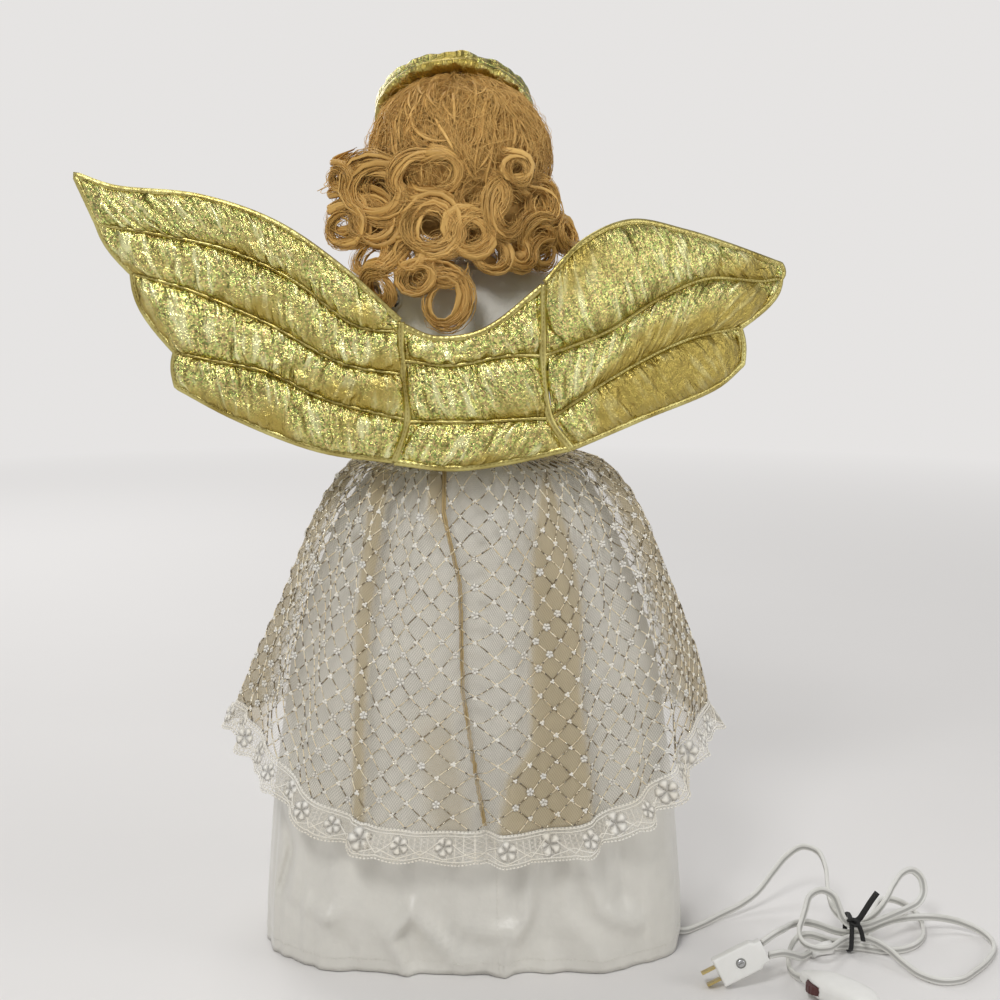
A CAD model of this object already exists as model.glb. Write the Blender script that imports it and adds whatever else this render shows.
"""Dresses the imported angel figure: quilted wings, halo, curls, satin, lace, leads and stage."""

import math

import bmesh
import bpy
import numpy as np
from mathutils import Matrix, Vector


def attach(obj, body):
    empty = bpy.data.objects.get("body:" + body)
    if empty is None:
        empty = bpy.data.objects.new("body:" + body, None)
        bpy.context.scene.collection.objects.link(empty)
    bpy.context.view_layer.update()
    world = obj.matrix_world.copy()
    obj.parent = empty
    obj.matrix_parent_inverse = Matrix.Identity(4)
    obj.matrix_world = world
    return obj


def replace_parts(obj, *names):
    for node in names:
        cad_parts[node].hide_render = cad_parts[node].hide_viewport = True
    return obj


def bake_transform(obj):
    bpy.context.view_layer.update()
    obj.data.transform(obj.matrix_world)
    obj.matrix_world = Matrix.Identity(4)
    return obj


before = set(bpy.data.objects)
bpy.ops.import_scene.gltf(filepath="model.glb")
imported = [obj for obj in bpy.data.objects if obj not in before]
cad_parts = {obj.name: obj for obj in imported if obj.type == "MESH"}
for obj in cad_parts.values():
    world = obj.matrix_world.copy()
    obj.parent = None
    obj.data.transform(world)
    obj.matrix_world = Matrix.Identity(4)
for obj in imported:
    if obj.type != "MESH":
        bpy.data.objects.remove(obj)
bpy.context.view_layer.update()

bl_info = {
    "name": "Animated angel figure",
    "version": (1, 0, 0),
    "blender": (4, 5, 0),
    "location": "View3D > Sidebar > Angel",
    "description": "Dresses the packed figure: wings, halo, curls, satin, lace, leads and stage",
    "category": "Object",
}

MM = 0.001
# Keeps a division from failing where a length is zero
TINY = 1e-9


# Meshes


def curve_points(points, values):
    """Points of the centripetal curve through the given ones, at values from 0 to 1."""
    points = np.array(points, float)
    last = len(points) - 1
    made = []
    for value in values:
        place = value * last
        i = min(int(place), last - 1)
        t = place - i
        p1, p2 = points[i], points[i + 1]
        p0 = points[i - 1] if i else 2 * p1 - p2
        p3 = points[i + 2] if i + 2 <= last else 2 * p2 - p1
        d0, d1, d2 = (
            max(1e-4, np.linalg.norm(b - a)) ** 0.5
            for a, b in ((p0, p1), (p1, p2), (p2, p3))
        )
        m1 = ((p1 - p0) / d0 - (p2 - p0) / (d0 + d1) + (p2 - p1) / d1) * d1
        m2 = ((p2 - p1) / d1 - (p3 - p1) / (d1 + d2) + (p3 - p2) / d2) * d1
        made.append(
            p1
            + m1 * t
            + (-3 * p1 + 3 * p2 - 2 * m1 - m2) * t * t
            + (2 * p1 - 2 * p2 + m1 + m2) * t**3
        )
    return np.array(made)


def distances(points):
    """The distance along a path to each of its points."""
    return np.concatenate([[0], np.cumsum(np.linalg.norm(np.diff(points, axis=0), axis=1))])


def even_points(points, count):
    """As many points, evenly spaced along the curve through the given ones."""
    fine = curve_points(points, np.linspace(0, 1, 40 * len(points)))
    along = distances(fine)
    where = np.linspace(0, along[-1], count)
    return np.stack([np.interp(where, along, fine[:, k]) for k in range(fine.shape[1])], axis=1)


def path_length(points):
    return float(np.linalg.norm(np.diff(points, axis=0), axis=1).sum())


def full_turn(count):
    """As many even angles round a circle."""
    return np.linspace(0, 2 * np.pi, count, endpoint=False)


def new_object(name, mesh, finish=None):
    piece = bpy.data.objects.new(name, mesh)
    bpy.context.scene.collection.objects.link(piece)
    if finish:
        mesh.materials.append(look(finish))
    return piece


def smooth_faces(mesh):
    mesh.polygons.foreach_set("use_smooth", [True] * len(mesh.polygons))


def keep_values(mesh, name, values):
    """Keeps a number or a vector for each point of a mesh under a name."""
    values = np.asarray(values, np.float32)
    kind, field = ("FLOAT", "value") if values.ndim == 1 else ("FLOAT_VECTOR", "vector")
    mesh.attributes.new(name, kind, "POINT").data.foreach_set(field, values.ravel())


def read_points(piece):
    points = np.zeros(len(piece.data.vertices) * 3)
    piece.data.vertices.foreach_get("co", points)
    return points.reshape(-1, 3) / MM


def write_points(piece, points):
    piece.data.vertices.foreach_set("co", (points * MM).astype(np.float32).ravel())
    piece.data.update()


def mesh_piece(name, points, faces, finish, uvs=None):
    """An object from points in millimetres. uvs holds one pair for each corner of each face."""
    mesh = bpy.data.meshes.new(name)
    mesh.from_pydata((np.asarray(points) * MM).tolist(), [], [tuple(f) for f in faces])
    if uvs is not None:
        layer = mesh.uv_layers.new(name="UVMap")
        layer.data.foreach_set("uv", np.asarray(uvs, np.float32).ravel())
    smooth_faces(mesh)
    mesh.update()
    return new_object(name, mesh, finish)


def grid_piece(name, grid, finish, wrap=False, uv=None, outward=None, caps=False):
    """A sheet through a grid of points. outward is a point inside it, which its faces look away from."""
    rows, cols = grid.shape[:2]
    across = cols if wrap else cols - 1
    r, c = np.meshgrid(np.arange(rows - 1), np.arange(across), indexing="ij")
    n = (c + 1) % cols
    faces = np.stack([r * cols + c, r * cols + n, (r + 1) * cols + n, (r + 1) * cols + c], -1).reshape(-1, 4)
    corner = None
    if uv is not None:
        corner = np.stack([uv[r, c], uv[r, c + 1], uv[r + 1, c + 1], uv[r + 1, c]], 2).reshape(-1, 4, 2)
    points = grid.reshape(-1, 3)
    if outward is not None:
        a, b, d = points[faces[:, 0]], points[faces[:, 1]], points[faces[:, 3]]
        facing = np.einsum("ij,ij->i", np.cross(b - a, d - a), a - np.asarray(outward, float))
        if facing.sum() < 0:
            faces = faces[:, ::-1]
            corner = corner[:, ::-1] if corner is not None else None
    faces = [tuple(f) for f in faces]
    if caps:
        first, last = list(range(cols)), list(range((rows - 1) * cols, rows * cols))
        faces += [tuple(first[::-1]), tuple(last)]
        if corner is not None:
            corner = np.concatenate([corner.reshape(-1, 2), np.zeros((2 * cols, 2))])
    piece = mesh_piece(name, points, faces, finish, corner)
    if caps:
        mend(piece)
    return piece


def mend(piece, merge=0.0):
    """Turns the faces outwards, and merges doubles where asked."""
    shape = bmesh.new()
    shape.from_mesh(piece.data)
    if merge:
        bmesh.ops.remove_doubles(shape, verts=shape.verts, dist=merge)
    bmesh.ops.recalc_face_normals(shape, faces=shape.faces)
    shape.to_mesh(piece.data)
    shape.free()
    piece.data.update()
    return piece


def settle(piece):
    """Turns an object's modifiers into plain mesh."""
    shown = piece.evaluated_get(bpy.context.evaluated_depsgraph_get())
    mesh = bpy.data.meshes.new_from_object(shown)
    mesh.name = piece.name
    piece.modifiers.clear()
    piece.data = mesh
    return piece


def change(piece, kind, **settings):
    """Adds a modifier with its settings."""
    modifier = piece.modifiers.new(kind.lower(), kind)
    for key, value in settings.items():
        setattr(modifier, key, value)


def thicken(piece, thickness):
    change(piece, "SOLIDIFY", thickness=thickness * MM, offset=-1.0, use_even_offset=False)
    return settle(piece)


def refine(piece):
    change(piece, "SUBSURF", levels=1, render_levels=1)
    return settle(piece)


def ball(name, finish, subdivisions, radius, matrix):
    """A round object, moved and stretched by a matrix."""
    mesh = bpy.data.meshes.new(name)
    shape = bmesh.new()
    bmesh.ops.create_icosphere(shape, subdivisions=subdivisions, radius=radius)
    shape.to_mesh(mesh)
    shape.free()
    mesh.transform(matrix)
    return new_object(name, mesh, finish)


def merge_pieces(name, pieces):
    """Joins objects into the first one and names it."""
    bpy.ops.object.select_all(action="DESELECT")
    for piece in pieces:
        piece.select_set(True)
    bpy.context.view_layer.objects.active = pieces[0]
    bpy.ops.object.join()
    pieces[0].name = name
    pieces[0].data.name = name
    return pieces[0]


def sweep_rings(path, section, upright=0.0):
    """Rings of a section along a path. upright is how fast its first axis leans back to vertical."""
    path = np.asarray(path, float)
    tangents = np.gradient(path, axis=0)
    tangents /= np.linalg.norm(tangents, axis=1)[:, None]
    wide = None
    rings = []
    for i, (point, tangent) in enumerate(zip(path, tangents)):
        up = np.array([0, 0, 1.0]) - tangent * tangent[2]
        if wide is None:
            wide = up / np.linalg.norm(up) if np.linalg.norm(up) > 0.05 else np.array([1.0, 0, 0])
        wide = wide - tangent * wide.dot(tangent)
        wide /= np.linalg.norm(wide)
        wide = wide + up * upright * (1 if up.dot(wide) >= 0 else -1)
        wide /= np.linalg.norm(wide)
        thin = np.cross(tangent, wide)
        shape = np.asarray(section(i / (len(path) - 1)) if callable(section) else section)
        rings.append(point + shape[:, :1] * wide + shape[:, 1:] * thin)
    return np.array(rings)


def tube_piece(name, path, section, finish, upright=0.0, around=1.0):
    """A closed tube along a path, with a map in metres along it and round it."""
    rings = sweep_rings(path, section, upright)
    across = np.linspace(0, around * MM, rings.shape[1] + 1)
    uv = np.stack(np.meshgrid(distances(path) * MM, across, indexing="ij"), -1)
    return grid_piece(name, rings, finish, wrap=True, uv=uv, caps=True)


def round_section(radius, sides, flat=1.0):
    a = full_turn(sides)
    return np.stack([radius * np.cos(a), radius * flat * np.sin(a)], -1)


def power(value, exponent):
    """A power that keeps the sign of its base."""
    return np.sign(value) * np.abs(value) ** exponent


def smoothstep(value):
    value = np.clip(value, 0, 1)
    return value * value * (3 - 2 * value)


def ride(piece, body):
    """Ties a piece to a moving body and to a material slot."""
    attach(piece, body)
    return piece


# Materials

FLOAT, VECTOR, COLOUR = "NodeSocketFloat", "NodeSocketVector", "NodeSocketColor"
GEOMETRY = "NodeSocketGeometry"


def connect(tree, value, socket):
    """Feeds a socket from another one, or sets its plain value."""
    if isinstance(value, bpy.types.NodeSocket):
        tree.links.new(value, socket)
    else:
        socket.default_value = value


def node(tree, kind, links=None, **values):
    """Adds a node: values are its own settings, links its inputs, each a socket or a plain value."""
    made = tree.nodes.new(kind)
    for key, value in values.items():
        setattr(made, key, value)
    for key, value in (links or {}).items():
        connect(tree, value, made.inputs[key])
    return made


def maths(tree, operation, *inputs, clamp=False):
    made = node(tree, "ShaderNodeMath", operation=operation, use_clamp=clamp)
    for socket, value in zip(made.inputs, inputs):
        connect(tree, value, socket)
    return made.outputs[0]


def between(tree, value, low, high, out_low=0.0, out_high=1.0):
    """Maps a value from one range to another, clamped."""
    return node(tree, "ShaderNodeMapRange", {0: value, 1: low, 2: high, 3: out_low, 4: out_high}).outputs[0]


def mixed(tree, share, first, second, blend="MIX"):
    """Mixes two colours, each a socket or three plain values."""
    made = node(tree, "ShaderNodeMix", {0: share}, data_type="RGBA", blend_type=blend)
    for place, colour in ((6, first), (7, second)):
        plain = not isinstance(colour, bpy.types.NodeSocket)
        connect(tree, (*colour, 1.0) if plain else colour, made.inputs[place])
    return made.outputs[2]


def noise(tree, vector, scale, detail=3.0, roughness=0.55):
    links = {"Vector": vector, "Scale": scale, "Detail": detail, "Roughness": roughness}
    return node(tree, "ShaderNodeTexNoise", links).outputs[0]


def bump(tree, height, strength, distance, below=None):
    """The normal of a bump, on top of another normal where one is given."""
    links = {"Height": height, "Strength": strength, "Distance": distance}
    if below is not None:
        links["Normal"] = below
    return node(tree, "ShaderNodeBump", links).outputs[0]


def wave(tree, value, factor):
    """The size of a sine of a value, from 0 to 1."""
    return maths(tree, "ABSOLUTE", maths(tree, "SINE", maths(tree, "MULTIPLY", value, factor)))


def object_place(tree):
    return node(tree, "ShaderNodeTexCoord").outputs["Object"]


def map_place(tree):
    return node(tree, "ShaderNodeUVMap", uv_map="UVMap").outputs[0]


def kept_value(tree, name, output="Fac"):
    """What a mesh keeps for its points under a name."""
    return node(tree, "ShaderNodeAttribute", attribute_name=name).outputs[output]


def split_cells(tree, scale):
    """Three chance values for each small cell."""
    cells = node(tree, "ShaderNodeTexVoronoi", {"Vector": object_place(tree), "Scale": scale})
    return node(tree, "ShaderNodeSeparateColor", {0: cells.outputs["Color"]}).outputs


def toned(colour, share):
    """A colour made darker or lighter by a share."""
    return tuple(c * share for c in colour)


def group_tree(name, kind, inputs, outputs):
    """An empty node group with named sockets, and its two end nodes."""
    tree = bpy.data.node_groups.new(name, kind)
    for label, socket_kind, value in inputs:
        socket = tree.interface.new_socket(label, in_out="INPUT", socket_type=socket_kind)
        if value is not None:
            socket.default_value = value
    for label, socket_kind in outputs:
        tree.interface.new_socket(label, in_out="OUTPUT", socket_type=socket_kind)
    return tree, tree.nodes.new("NodeGroupInput"), tree.nodes.new("NodeGroupOutput")


def give(tree, out, **values):
    """Links what a node group gives to its named outputs."""
    for label, value in values.items():
        tree.links.new(value, out.inputs[label])


def grain_effect():
    """Fine noise for colour, roughness and bump of moulded and plated surfaces."""
    tree, given, out = group_tree(
        "surface_grain",
        "ShaderNodeTree",
        [("Scale", FLOAT, 400.0), ("Depth", FLOAT, 0.1), ("Low", FLOAT, 0.3), ("High", FLOAT, 0.5)],
        [("Tone", FLOAT), ("Roughness", FLOAT), ("Normal", VECTOR)],
    )
    settings = given.outputs
    place = object_place(tree)
    fine = noise(tree, place, settings["Scale"], 4)
    broad = noise(tree, place, 35.0, 3)
    give(
        tree,
        out,
        Tone=between(tree, broad, 0.3, 0.7),
        Roughness=between(tree, broad, 0.3, 0.7, settings["Low"], settings["High"]),
        Normal=bump(tree, fine, settings["Depth"], 0.0004),
    )


def weave_effect():
    """Over-and-under threads on the piece's own UV map, in metres."""
    tree, given, out = group_tree(
        "thread_weave",
        "ShaderNodeTree",
        [("Pitch", FLOAT, 0.0004), ("Depth", FLOAT, 0.2), ("Crease", FLOAT, 0.3)],
        [("Threads", FLOAT), ("Creases", FLOAT), ("Normal", VECTOR)],
    )
    settings = given.outputs
    split = node(tree, "ShaderNodeSeparateXYZ", {0: map_place(tree)})
    waves = []
    for axis in (0, 1):
        turn = maths(tree, "DIVIDE", split.outputs[axis], settings["Pitch"])
        waves.append(maths(tree, "SINE", maths(tree, "MULTIPLY", turn, 2 * math.pi)))
    threads_seen = between(tree, maths(tree, "MULTIPLY", waves[0], waves[1]), -1, 1)
    body = object_place(tree)
    fine = noise(tree, body, 110.0, 3, 0.5)
    creases = maths(tree, "ADD", noise(tree, body, 28.0, 5, 0.6), maths(tree, "MULTIPLY", fine, 0.35))
    low = bump(tree, creases, settings["Crease"], 0.004)
    high = bump(tree, threads_seen, settings["Depth"], 0.0002, low)
    give(tree, out, Threads=threads_seen, Creases=creases, Normal=high)


# Tints of the foil's cells: place on the ramp and colour
FOIL_TINTS = [
    (0.0, (0.3, 0.32, 0.3)), (0.2, (0.5, 0.78, 0.5)), (0.38, (0.95, 1, 0.82)),
    (0.66, (1, 0.97, 0.86)), (0.86, (0.95, 0.72, 0.85)), (1.0, (0.4, 0.36, 0.32)),
]


def glitter_effect():
    """Foil whose tiny cells differ in tint and tilt, puckered square to its seams."""
    tree, given, out = group_tree(
        "foil_glitter",
        "ShaderNodeTree",
        [("Cell", FLOAT, 800.0), ("Crinkle", FLOAT, 0.4), ("Pucker", FLOAT, 0.5)],
        [
            ("Sparkle", FLOAT),
            ("Tint", COLOUR),
            ("Patch", FLOAT),
            ("Fold", FLOAT),
            ("Rim", FLOAT),
            ("Normal", VECTOR),
        ],
    )
    settings = given.outputs
    place = object_place(tree)
    cells = split_cells(tree, settings["Cell"])
    hue = node(tree, "ShaderNodeValToRGB", {0: cells[1]})
    stops = hue.color_ramp.elements
    while len(stops) < len(FOIL_TINTS):
        stops.new(0.5)
    for stop, (position, colour) in zip(stops, FOIL_TINTS):
        stop.position = position
        stop.color = (*colour, 1)

    # Along the seam, across the feather, and the feather's own number
    way = kept_value(tree, "seam_way", "Vector")
    across = node(tree, "ShaderNodeSeparateXYZ", {0: way}).outputs[1]
    broad = noise(tree, place, 13.0, 3, 0.5)
    lower = maths(tree, "MULTIPLY", maths(tree, "SUBTRACT", 0.42, across), 0.16)
    rim = maths(tree, "ABSOLUTE", maths(tree, "SUBTRACT", maths(tree, "MULTIPLY", across, 2.0), 1.0))
    stretched = node(tree, "ShaderNodeVectorMath", {0: way, 1: (230.0, 1.6, 40.0)}, operation="MULTIPLY")
    streak = noise(tree, stretched.outputs[0], 1.0, 3, 0.5)
    folds = maths(tree, "MULTIPLY", streak, between(tree, rim, 0.2, 1.0, 0.3, 1.3))
    pleats = bump(tree, folds, settings["Pucker"], 0.004)
    height = maths(tree, "ADD", noise(tree, place, 120.0, 5, 0.6), noise(tree, place, 45.0, 3, 0.5))
    low = bump(tree, height, settings["Crinkle"], 0.003, pleats)
    give(
        tree,
        out,
        Sparkle=cells[0],
        Tint=hue.outputs[0],
        Patch=between(tree, maths(tree, "ADD", broad, lower), 0.4, 0.52),
        Fold=streak,
        Rim=rim,
        Normal=bump(tree, noise(tree, place, 950.0, 2, 0.5), 0.5, 0.0007, low),
    )


def use(tree, group, **values):
    made = node(tree, "ShaderNodeGroup", node_tree=bpy.data.node_groups[group])
    for key, value in values.items():
        made.inputs[key].default_value = value
    return made.outputs


def material(name, colour, roughness=0.5, metallic=0.0, **sockets):
    """A material, its tree and its Principled node; sockets are plain values of that node."""
    made = bpy.data.materials.new(name)
    made.use_nodes = True
    shader = made.node_tree.nodes["Principled BSDF"]
    shader.inputs["Base Color"].default_value = (*colour, 1)
    shader.inputs["Roughness"].default_value = roughness
    shader.inputs["Metallic"].default_value = metallic
    for key, value in sockets.items():
        shader.inputs[key.replace("_", " ")].default_value = value
    return made.node_tree, shader


def feed(tree, shader, **links):
    for key, value in links.items():
        tree.links.new(value, shader.inputs[key.replace("_", " ")])


def grained(tree, shader, grain, tone):
    """Feeds a colour, and a grain's roughness and bump."""
    feed(tree, shader, Base_Color=tone, Roughness=grain["Roughness"], Normal=grain["Normal"])


def gold_finishes(colours):
    """Gold lame on wings and halo, its bare edges and its sewing thread."""
    tree, shader = material("gold_foil", colours.gold, 0.3, 1.0)
    foil = use(tree, "foil_glitter", Cell=900.0, Crinkle=0.8, Pucker=1.0)
    patch = foil["Patch"]
    tone = mixed(tree, patch, colours.gold_deep, colours.gold)
    tone = mixed(tree, between(tree, patch, 0, 1, 0.12, 0.85), tone, foil["Tint"], "MULTIPLY")
    spark = between(tree, foil["Sparkle"], 0.0, 1.0, 0.5, 1.6)
    glint = maths(tree, "ADD", maths(tree, "MULTIPLY", maths(tree, "SUBTRACT", spark, 1.0), patch), 1.0)
    grey = node(tree, "ShaderNodeCombineColor", {0: glint, 1: glint, 2: glint}).outputs[0]
    tone = mixed(tree, 1.0, tone, grey, "MULTIPLY")
    strength = between(tree, patch, 0, 1, 0.2, 0.85)
    raised = between(tree, foil["Fold"], 0.54, 0.68)
    sunk = between(tree, foil["Fold"], 0.45, 0.3, 0, 0.9)
    tone = mixed(tree, maths(tree, "MULTIPLY", raised, strength), tone, (0.97, 0.95, 0.52))
    tone = mixed(tree, maths(tree, "MULTIPLY", sunk, strength), tone, (0.16, 0.125, 0.015))
    tone = mixed(tree, between(tree, foil["Rim"], 0.8, 1.0, 0, 0.7), tone, (0.26, 0.2, 0.025))
    rough = between(tree, patch, 0.0, 1.0, 0.3, 0.24)
    feed(tree, shader, Base_Color=tone, Roughness=rough, Normal=foil["Normal"])

    tree, shader = material("gold_edge", colours.gold_deep, 0.32, 1.0)
    grain = use(tree, "surface_grain", Scale=900.0, Depth=0.6, Low=0.26, High=0.42)
    grained(tree, shader, grain, mixed(tree, grain["Tone"], toned(colours.gold_deep, 0.75), colours.gold))

    tree, shader = material("gold_thread", (0.34, 0.25, 0.05), 0.45, 0.4)
    grain = use(tree, "surface_grain", Scale=2500.0, Depth=0.3, Low=0.35, High=0.6)
    grained(tree, shader, grain, mixed(tree, grain["Tone"], (0.2, 0.14, 0.02), (0.46, 0.36, 0.08)))


def hair_finishes(colours):
    """Hair whose strands carry their own shade, and the duller mass under them."""
    for name, rough in (("hair_strands", 0.42), ("hair_mass", 0.7)):
        tree, shader = material(name, colours.hair_dark, rough, 0.0, Specular_IOR_Level=0.3)
        place = object_place(tree)
        lock = noise(tree, place, 45.0, 3)
        fibre = noise(tree, place, 900.0, 3)
        own = maths(tree, "MULTIPLY", kept_value(tree, "shade"), 0.7)
        share = maths(tree, "ADD", own, maths(tree, "MULTIPLY", lock, 0.45), clamp=True)
        tone = mixed(tree, share, colours.hair_dark, colours.hair_light)
        level = between(tree, fibre, 0.3, 0.7, rough - 0.08, rough + 0.1)
        feed(tree, shader, Base_Color=tone, Roughness=level, Normal=bump(tree, fibre, 0.35, 0.0005))


def satin_finish(colours):
    """Satin of gown, bodice and sleeves."""
    tree, shader = material(
        "ivory_satin", colours.satin, 0.3, 0.0, Specular_IOR_Level=0.7, Sheen_Weight=0.25, Sheen_Roughness=0.4
    )
    cloth = use(tree, "thread_weave", Pitch=0.0005, Depth=0.12, Crease=0.3)
    share = between(tree, cloth["Creases"], 0.4, 0.95)
    tone = mixed(tree, share, toned(colours.satin, 0.9), colours.satin)
    level = between(tree, cloth["Threads"], 0, 1, 0.32, 0.42)
    feed(tree, shader, Base_Color=tone, Roughness=level, Normal=cloth["Normal"])


def net_finish(colours):
    """Fine net of the overskirt: nearly clear holes between threads, tan where it lies double."""
    tree, shader = material("lace_net", colours.lace, 0.8, 0.0, Sheen_Weight=0.2, Sheen_Roughness=0.5)
    split = node(tree, "ShaderNodeSeparateXYZ", {0: map_place(tree)})
    waves = []
    for sign in (1, -1):
        slope = maths(tree, "ADD", split.outputs[0], maths(tree, "MULTIPLY", split.outputs[1], 0.6 * sign))
        waves.append(wave(tree, slope, math.pi / 0.0016))
    holes = maths(tree, "MINIMUM", waves[0], waves[1])
    doubled = kept_value(tree, "doubled")
    cloudy = noise(tree, object_place(tree), 60.0, 4)
    net = between(tree, holes, 0.1, 0.4, 0.26, 0.03)
    cover = maths(tree, "ADD", net, between(tree, cloudy, 0.35, 0.7, 0.0, 0.08))
    cover = maths(tree, "ADD", cover, maths(tree, "MULTIPLY", doubled, 0.42), clamp=True)
    tone = mixed(tree, cloudy, toned(colours.lace, 0.88), colours.lace)
    tone = mixed(tree, maths(tree, "MULTIPLY", doubled, 0.85), tone, colours.lace_double)
    feed(tree, shader, Base_Color=tone, Alpha=cover)


def thread_finishes():
    """Threads of the lattice and the rear seam, and the bright metallic dashes."""
    tree, shader = material("lace_thread", (0.74, 0.64, 0.44), 0.55, 0.15)
    grain = use(tree, "surface_grain", Scale=1800.0, Depth=0.5, Low=0.35, High=0.75)
    tone = mixed(tree, grain["Tone"], (0.7, 0.57, 0.36), (0.95, 0.87, 0.68))
    dash = between(tree, split_cells(tree, 300.0)[0], 0.6, 0.72)
    grained(tree, shader, grain, mixed(tree, dash, tone, (0.2, 0.15, 0.08)))

    tree, shader = material("lace_seam", (0.5, 0.38, 0.2), 0.7)
    share = noise(tree, object_place(tree), 300.0)
    feed(tree, shader, Base_Color=mixed(tree, share, (0.3, 0.2, 0.07), (0.56, 0.43, 0.22)))

    tree, shader = material("metallic_thread", (0.85, 0.8, 0.66), 0.22, 0.9)
    grain = use(tree, "surface_grain", Scale=900.0, Depth=0.4, Low=0.12, High=0.35)
    share = between(tree, split_cells(tree, 420.0)[0], 0.35, 0.65)
    grained(tree, shader, grain, mixed(tree, share, (0.16, 0.14, 0.12), (0.95, 0.9, 0.74)))


def trim_finishes():
    """The trim's coarse net, one map unit to each scallop, its raised motifs and the sequins."""
    tree, shader = material("lace_band", (0.9, 0.86, 0.77), 0.75, 0.0, Sheen_Weight=0.2, Sheen_Roughness=0.5)
    split = node(tree, "ShaderNodeSeparateXYZ", {0: map_place(tree)})
    u, v = split.outputs[0], split.outputs[1]
    ways = (u, maths(tree, "ADD", u, v), maths(tree, "SUBTRACT", u, v))
    nets = [wave(tree, way, 7 * math.pi) for way in ways]
    net = maths(tree, "MINIMUM", maths(tree, "MINIMUM", nets[0], nets[1]), nets[2])
    cover = between(tree, net, 0.12, 0.34, 0.7, 0.06)
    tone = mixed(tree, noise(tree, object_place(tree), 220.0, 3), (0.8, 0.74, 0.62), (0.95, 0.92, 0.85))
    feed(tree, shader, Base_Color=tone, Alpha=cover, Normal=bump(tree, cover, 0.6, 0.0006))

    tree, shader = material("lace_motif", (0.93, 0.88, 0.77), 0.7, 0.0, Sheen_Weight=0.2, Sheen_Roughness=0.5)
    grain = use(tree, "surface_grain", Scale=1500.0, Depth=0.5, Low=0.6, High=0.85)
    grained(tree, shader, grain, mixed(tree, grain["Tone"], (0.84, 0.79, 0.68), (0.95, 0.93, 0.87)))

    tree, shader = material("sequin", (0.9, 0.92, 0.95), 0.12, 0.5, Coat_Weight=0.6)
    grain = use(tree, "surface_grain", Scale=300.0, Depth=0.1, Low=0.08, High=0.2)
    tone = mixed(tree, grain["Tone"], (0.95, 0.85, 0.9), (0.82, 0.95, 0.95))
    feed(tree, shader, Base_Color=tone, Roughness=grain["Roughness"])


def vinyl_finish(colours):
    """Painted vinyl, with blush, lips and lashes where the face keeps them."""
    tree, shader = material(
        "painted_vinyl", colours.skin, 0.45, 0.0, Subsurface_Weight=0.12, Subsurface_Scale=0.004
    )
    grain = use(tree, "surface_grain", Scale=900.0, Depth=0.08, Low=0.4, High=0.52)
    tone = mixed(tree, grain["Tone"], toned(colours.skin, 0.96), colours.skin)
    paints = (("blush", (0.82, 0.42, 0.36)), ("lips", (0.6, 0.16, 0.15)), ("lash", (0.2, 0.11, 0.06)))
    for name, colour in paints:
        tone = mixed(tree, kept_value(tree, name), tone, colour)
    grained(tree, shader, grain, tone)


# Plain finishes: dark and light tone, range of roughness, depth and scale of the grain, metallic share
PLAIN_FINISHES = (
    ("cord_vinyl", (0.66, 0.655, 0.61), (0.78, 0.775, 0.74), 0.32, 0.46, 0.08, 500.0, 0.0),
    ("plug_moulding", (0.78, 0.775, 0.74), (0.88, 0.875, 0.85), 0.38, 0.52, 0.15, 1500.0, 0.0),
    ("white_moulding", (0.74, 0.73, 0.69), (0.84, 0.83, 0.79), 0.4, 0.55, 0.12, 1200.0, 0.0),
    ("plated_steel", (0.5, 0.5, 0.51), (0.64, 0.64, 0.65), 0.25, 0.42, 0.1, 900.0, 1.0),
    ("plain_brass", (0.55, 0.42, 0.16), (0.75, 0.6, 0.27), 0.25, 0.42, 0.1, 900.0, 1.0),
    ("pressed_board", (0.2, 0.13, 0.075), (0.34, 0.24, 0.15), 0.7, 0.9, 0.5, 500.0, 0.0),
    ("tie_plastic", (0.006, 0.006, 0.006), (0.018, 0.018, 0.018), 0.6, 0.8, 0.3, 900.0, 0.0),
    ("blank_paper", (0.84, 0.835, 0.81), (0.93, 0.925, 0.9), 0.6, 0.8, 0.15, 700.0, 0.0),
    ("wheel_plastic", (0.06, 0.014, 0.014), (0.11, 0.03, 0.028), 0.3, 0.45, 0.15, 900.0, 0.0),
    ("groove_shadow", (0.2, 0.2, 0.19), (0.3, 0.3, 0.28), 0.6, 0.8, 0.1, 500.0, 0.0),
)
CORD_GROOVE = (0.42, 0.415, 0.39)


def plain_finishes():
    """Leads, mouldings and metal parts."""
    for name, dark, light, low, high, depth, scale, metallic in PLAIN_FINISHES:
        tree, shader = material(name, light, high, metallic)
        grain = use(tree, "surface_grain", Scale=scale, Depth=depth, Low=low, High=high)
        tone = mixed(tree, grain["Tone"], dark, light)
        if name == "cord_vinyl":
            tone = mixed(tree, kept_value(tree, "groove"), tone, CORD_GROOVE)
        grained(tree, shader, grain, tone)


def make_materials(colours):
    grain_effect()
    weave_effect()
    glitter_effect()
    gold_finishes(colours)
    hair_finishes(colours)
    satin_finish(colours)
    net_finish(colours)
    thread_finishes()
    trim_finishes()
    vinyl_finish(colours)
    plain_finishes()


def look(name):
    return bpy.data.materials[name]


# Geometry nodes


def geometry_tree(name, inputs):
    """A geometry tree that takes a mesh, its own inputs and a material."""
    inputs = [("Geometry", GEOMETRY, None), *inputs, ("Material", "NodeSocketMaterial", None)]
    return group_tree(name, "GeometryNodeTree", inputs, [("Geometry", GEOMETRY)])


def finish_tree(tree, given, out, geometry):
    real = node(tree, "GeometryNodeRealizeInstances", {0: geometry})
    painted = node(
        tree, "GeometryNodeSetMaterial", {0: real.outputs[0], "Material": given.outputs["Material"]}
    )
    tree.links.new(painted.outputs[0], out.inputs[0])


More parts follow.
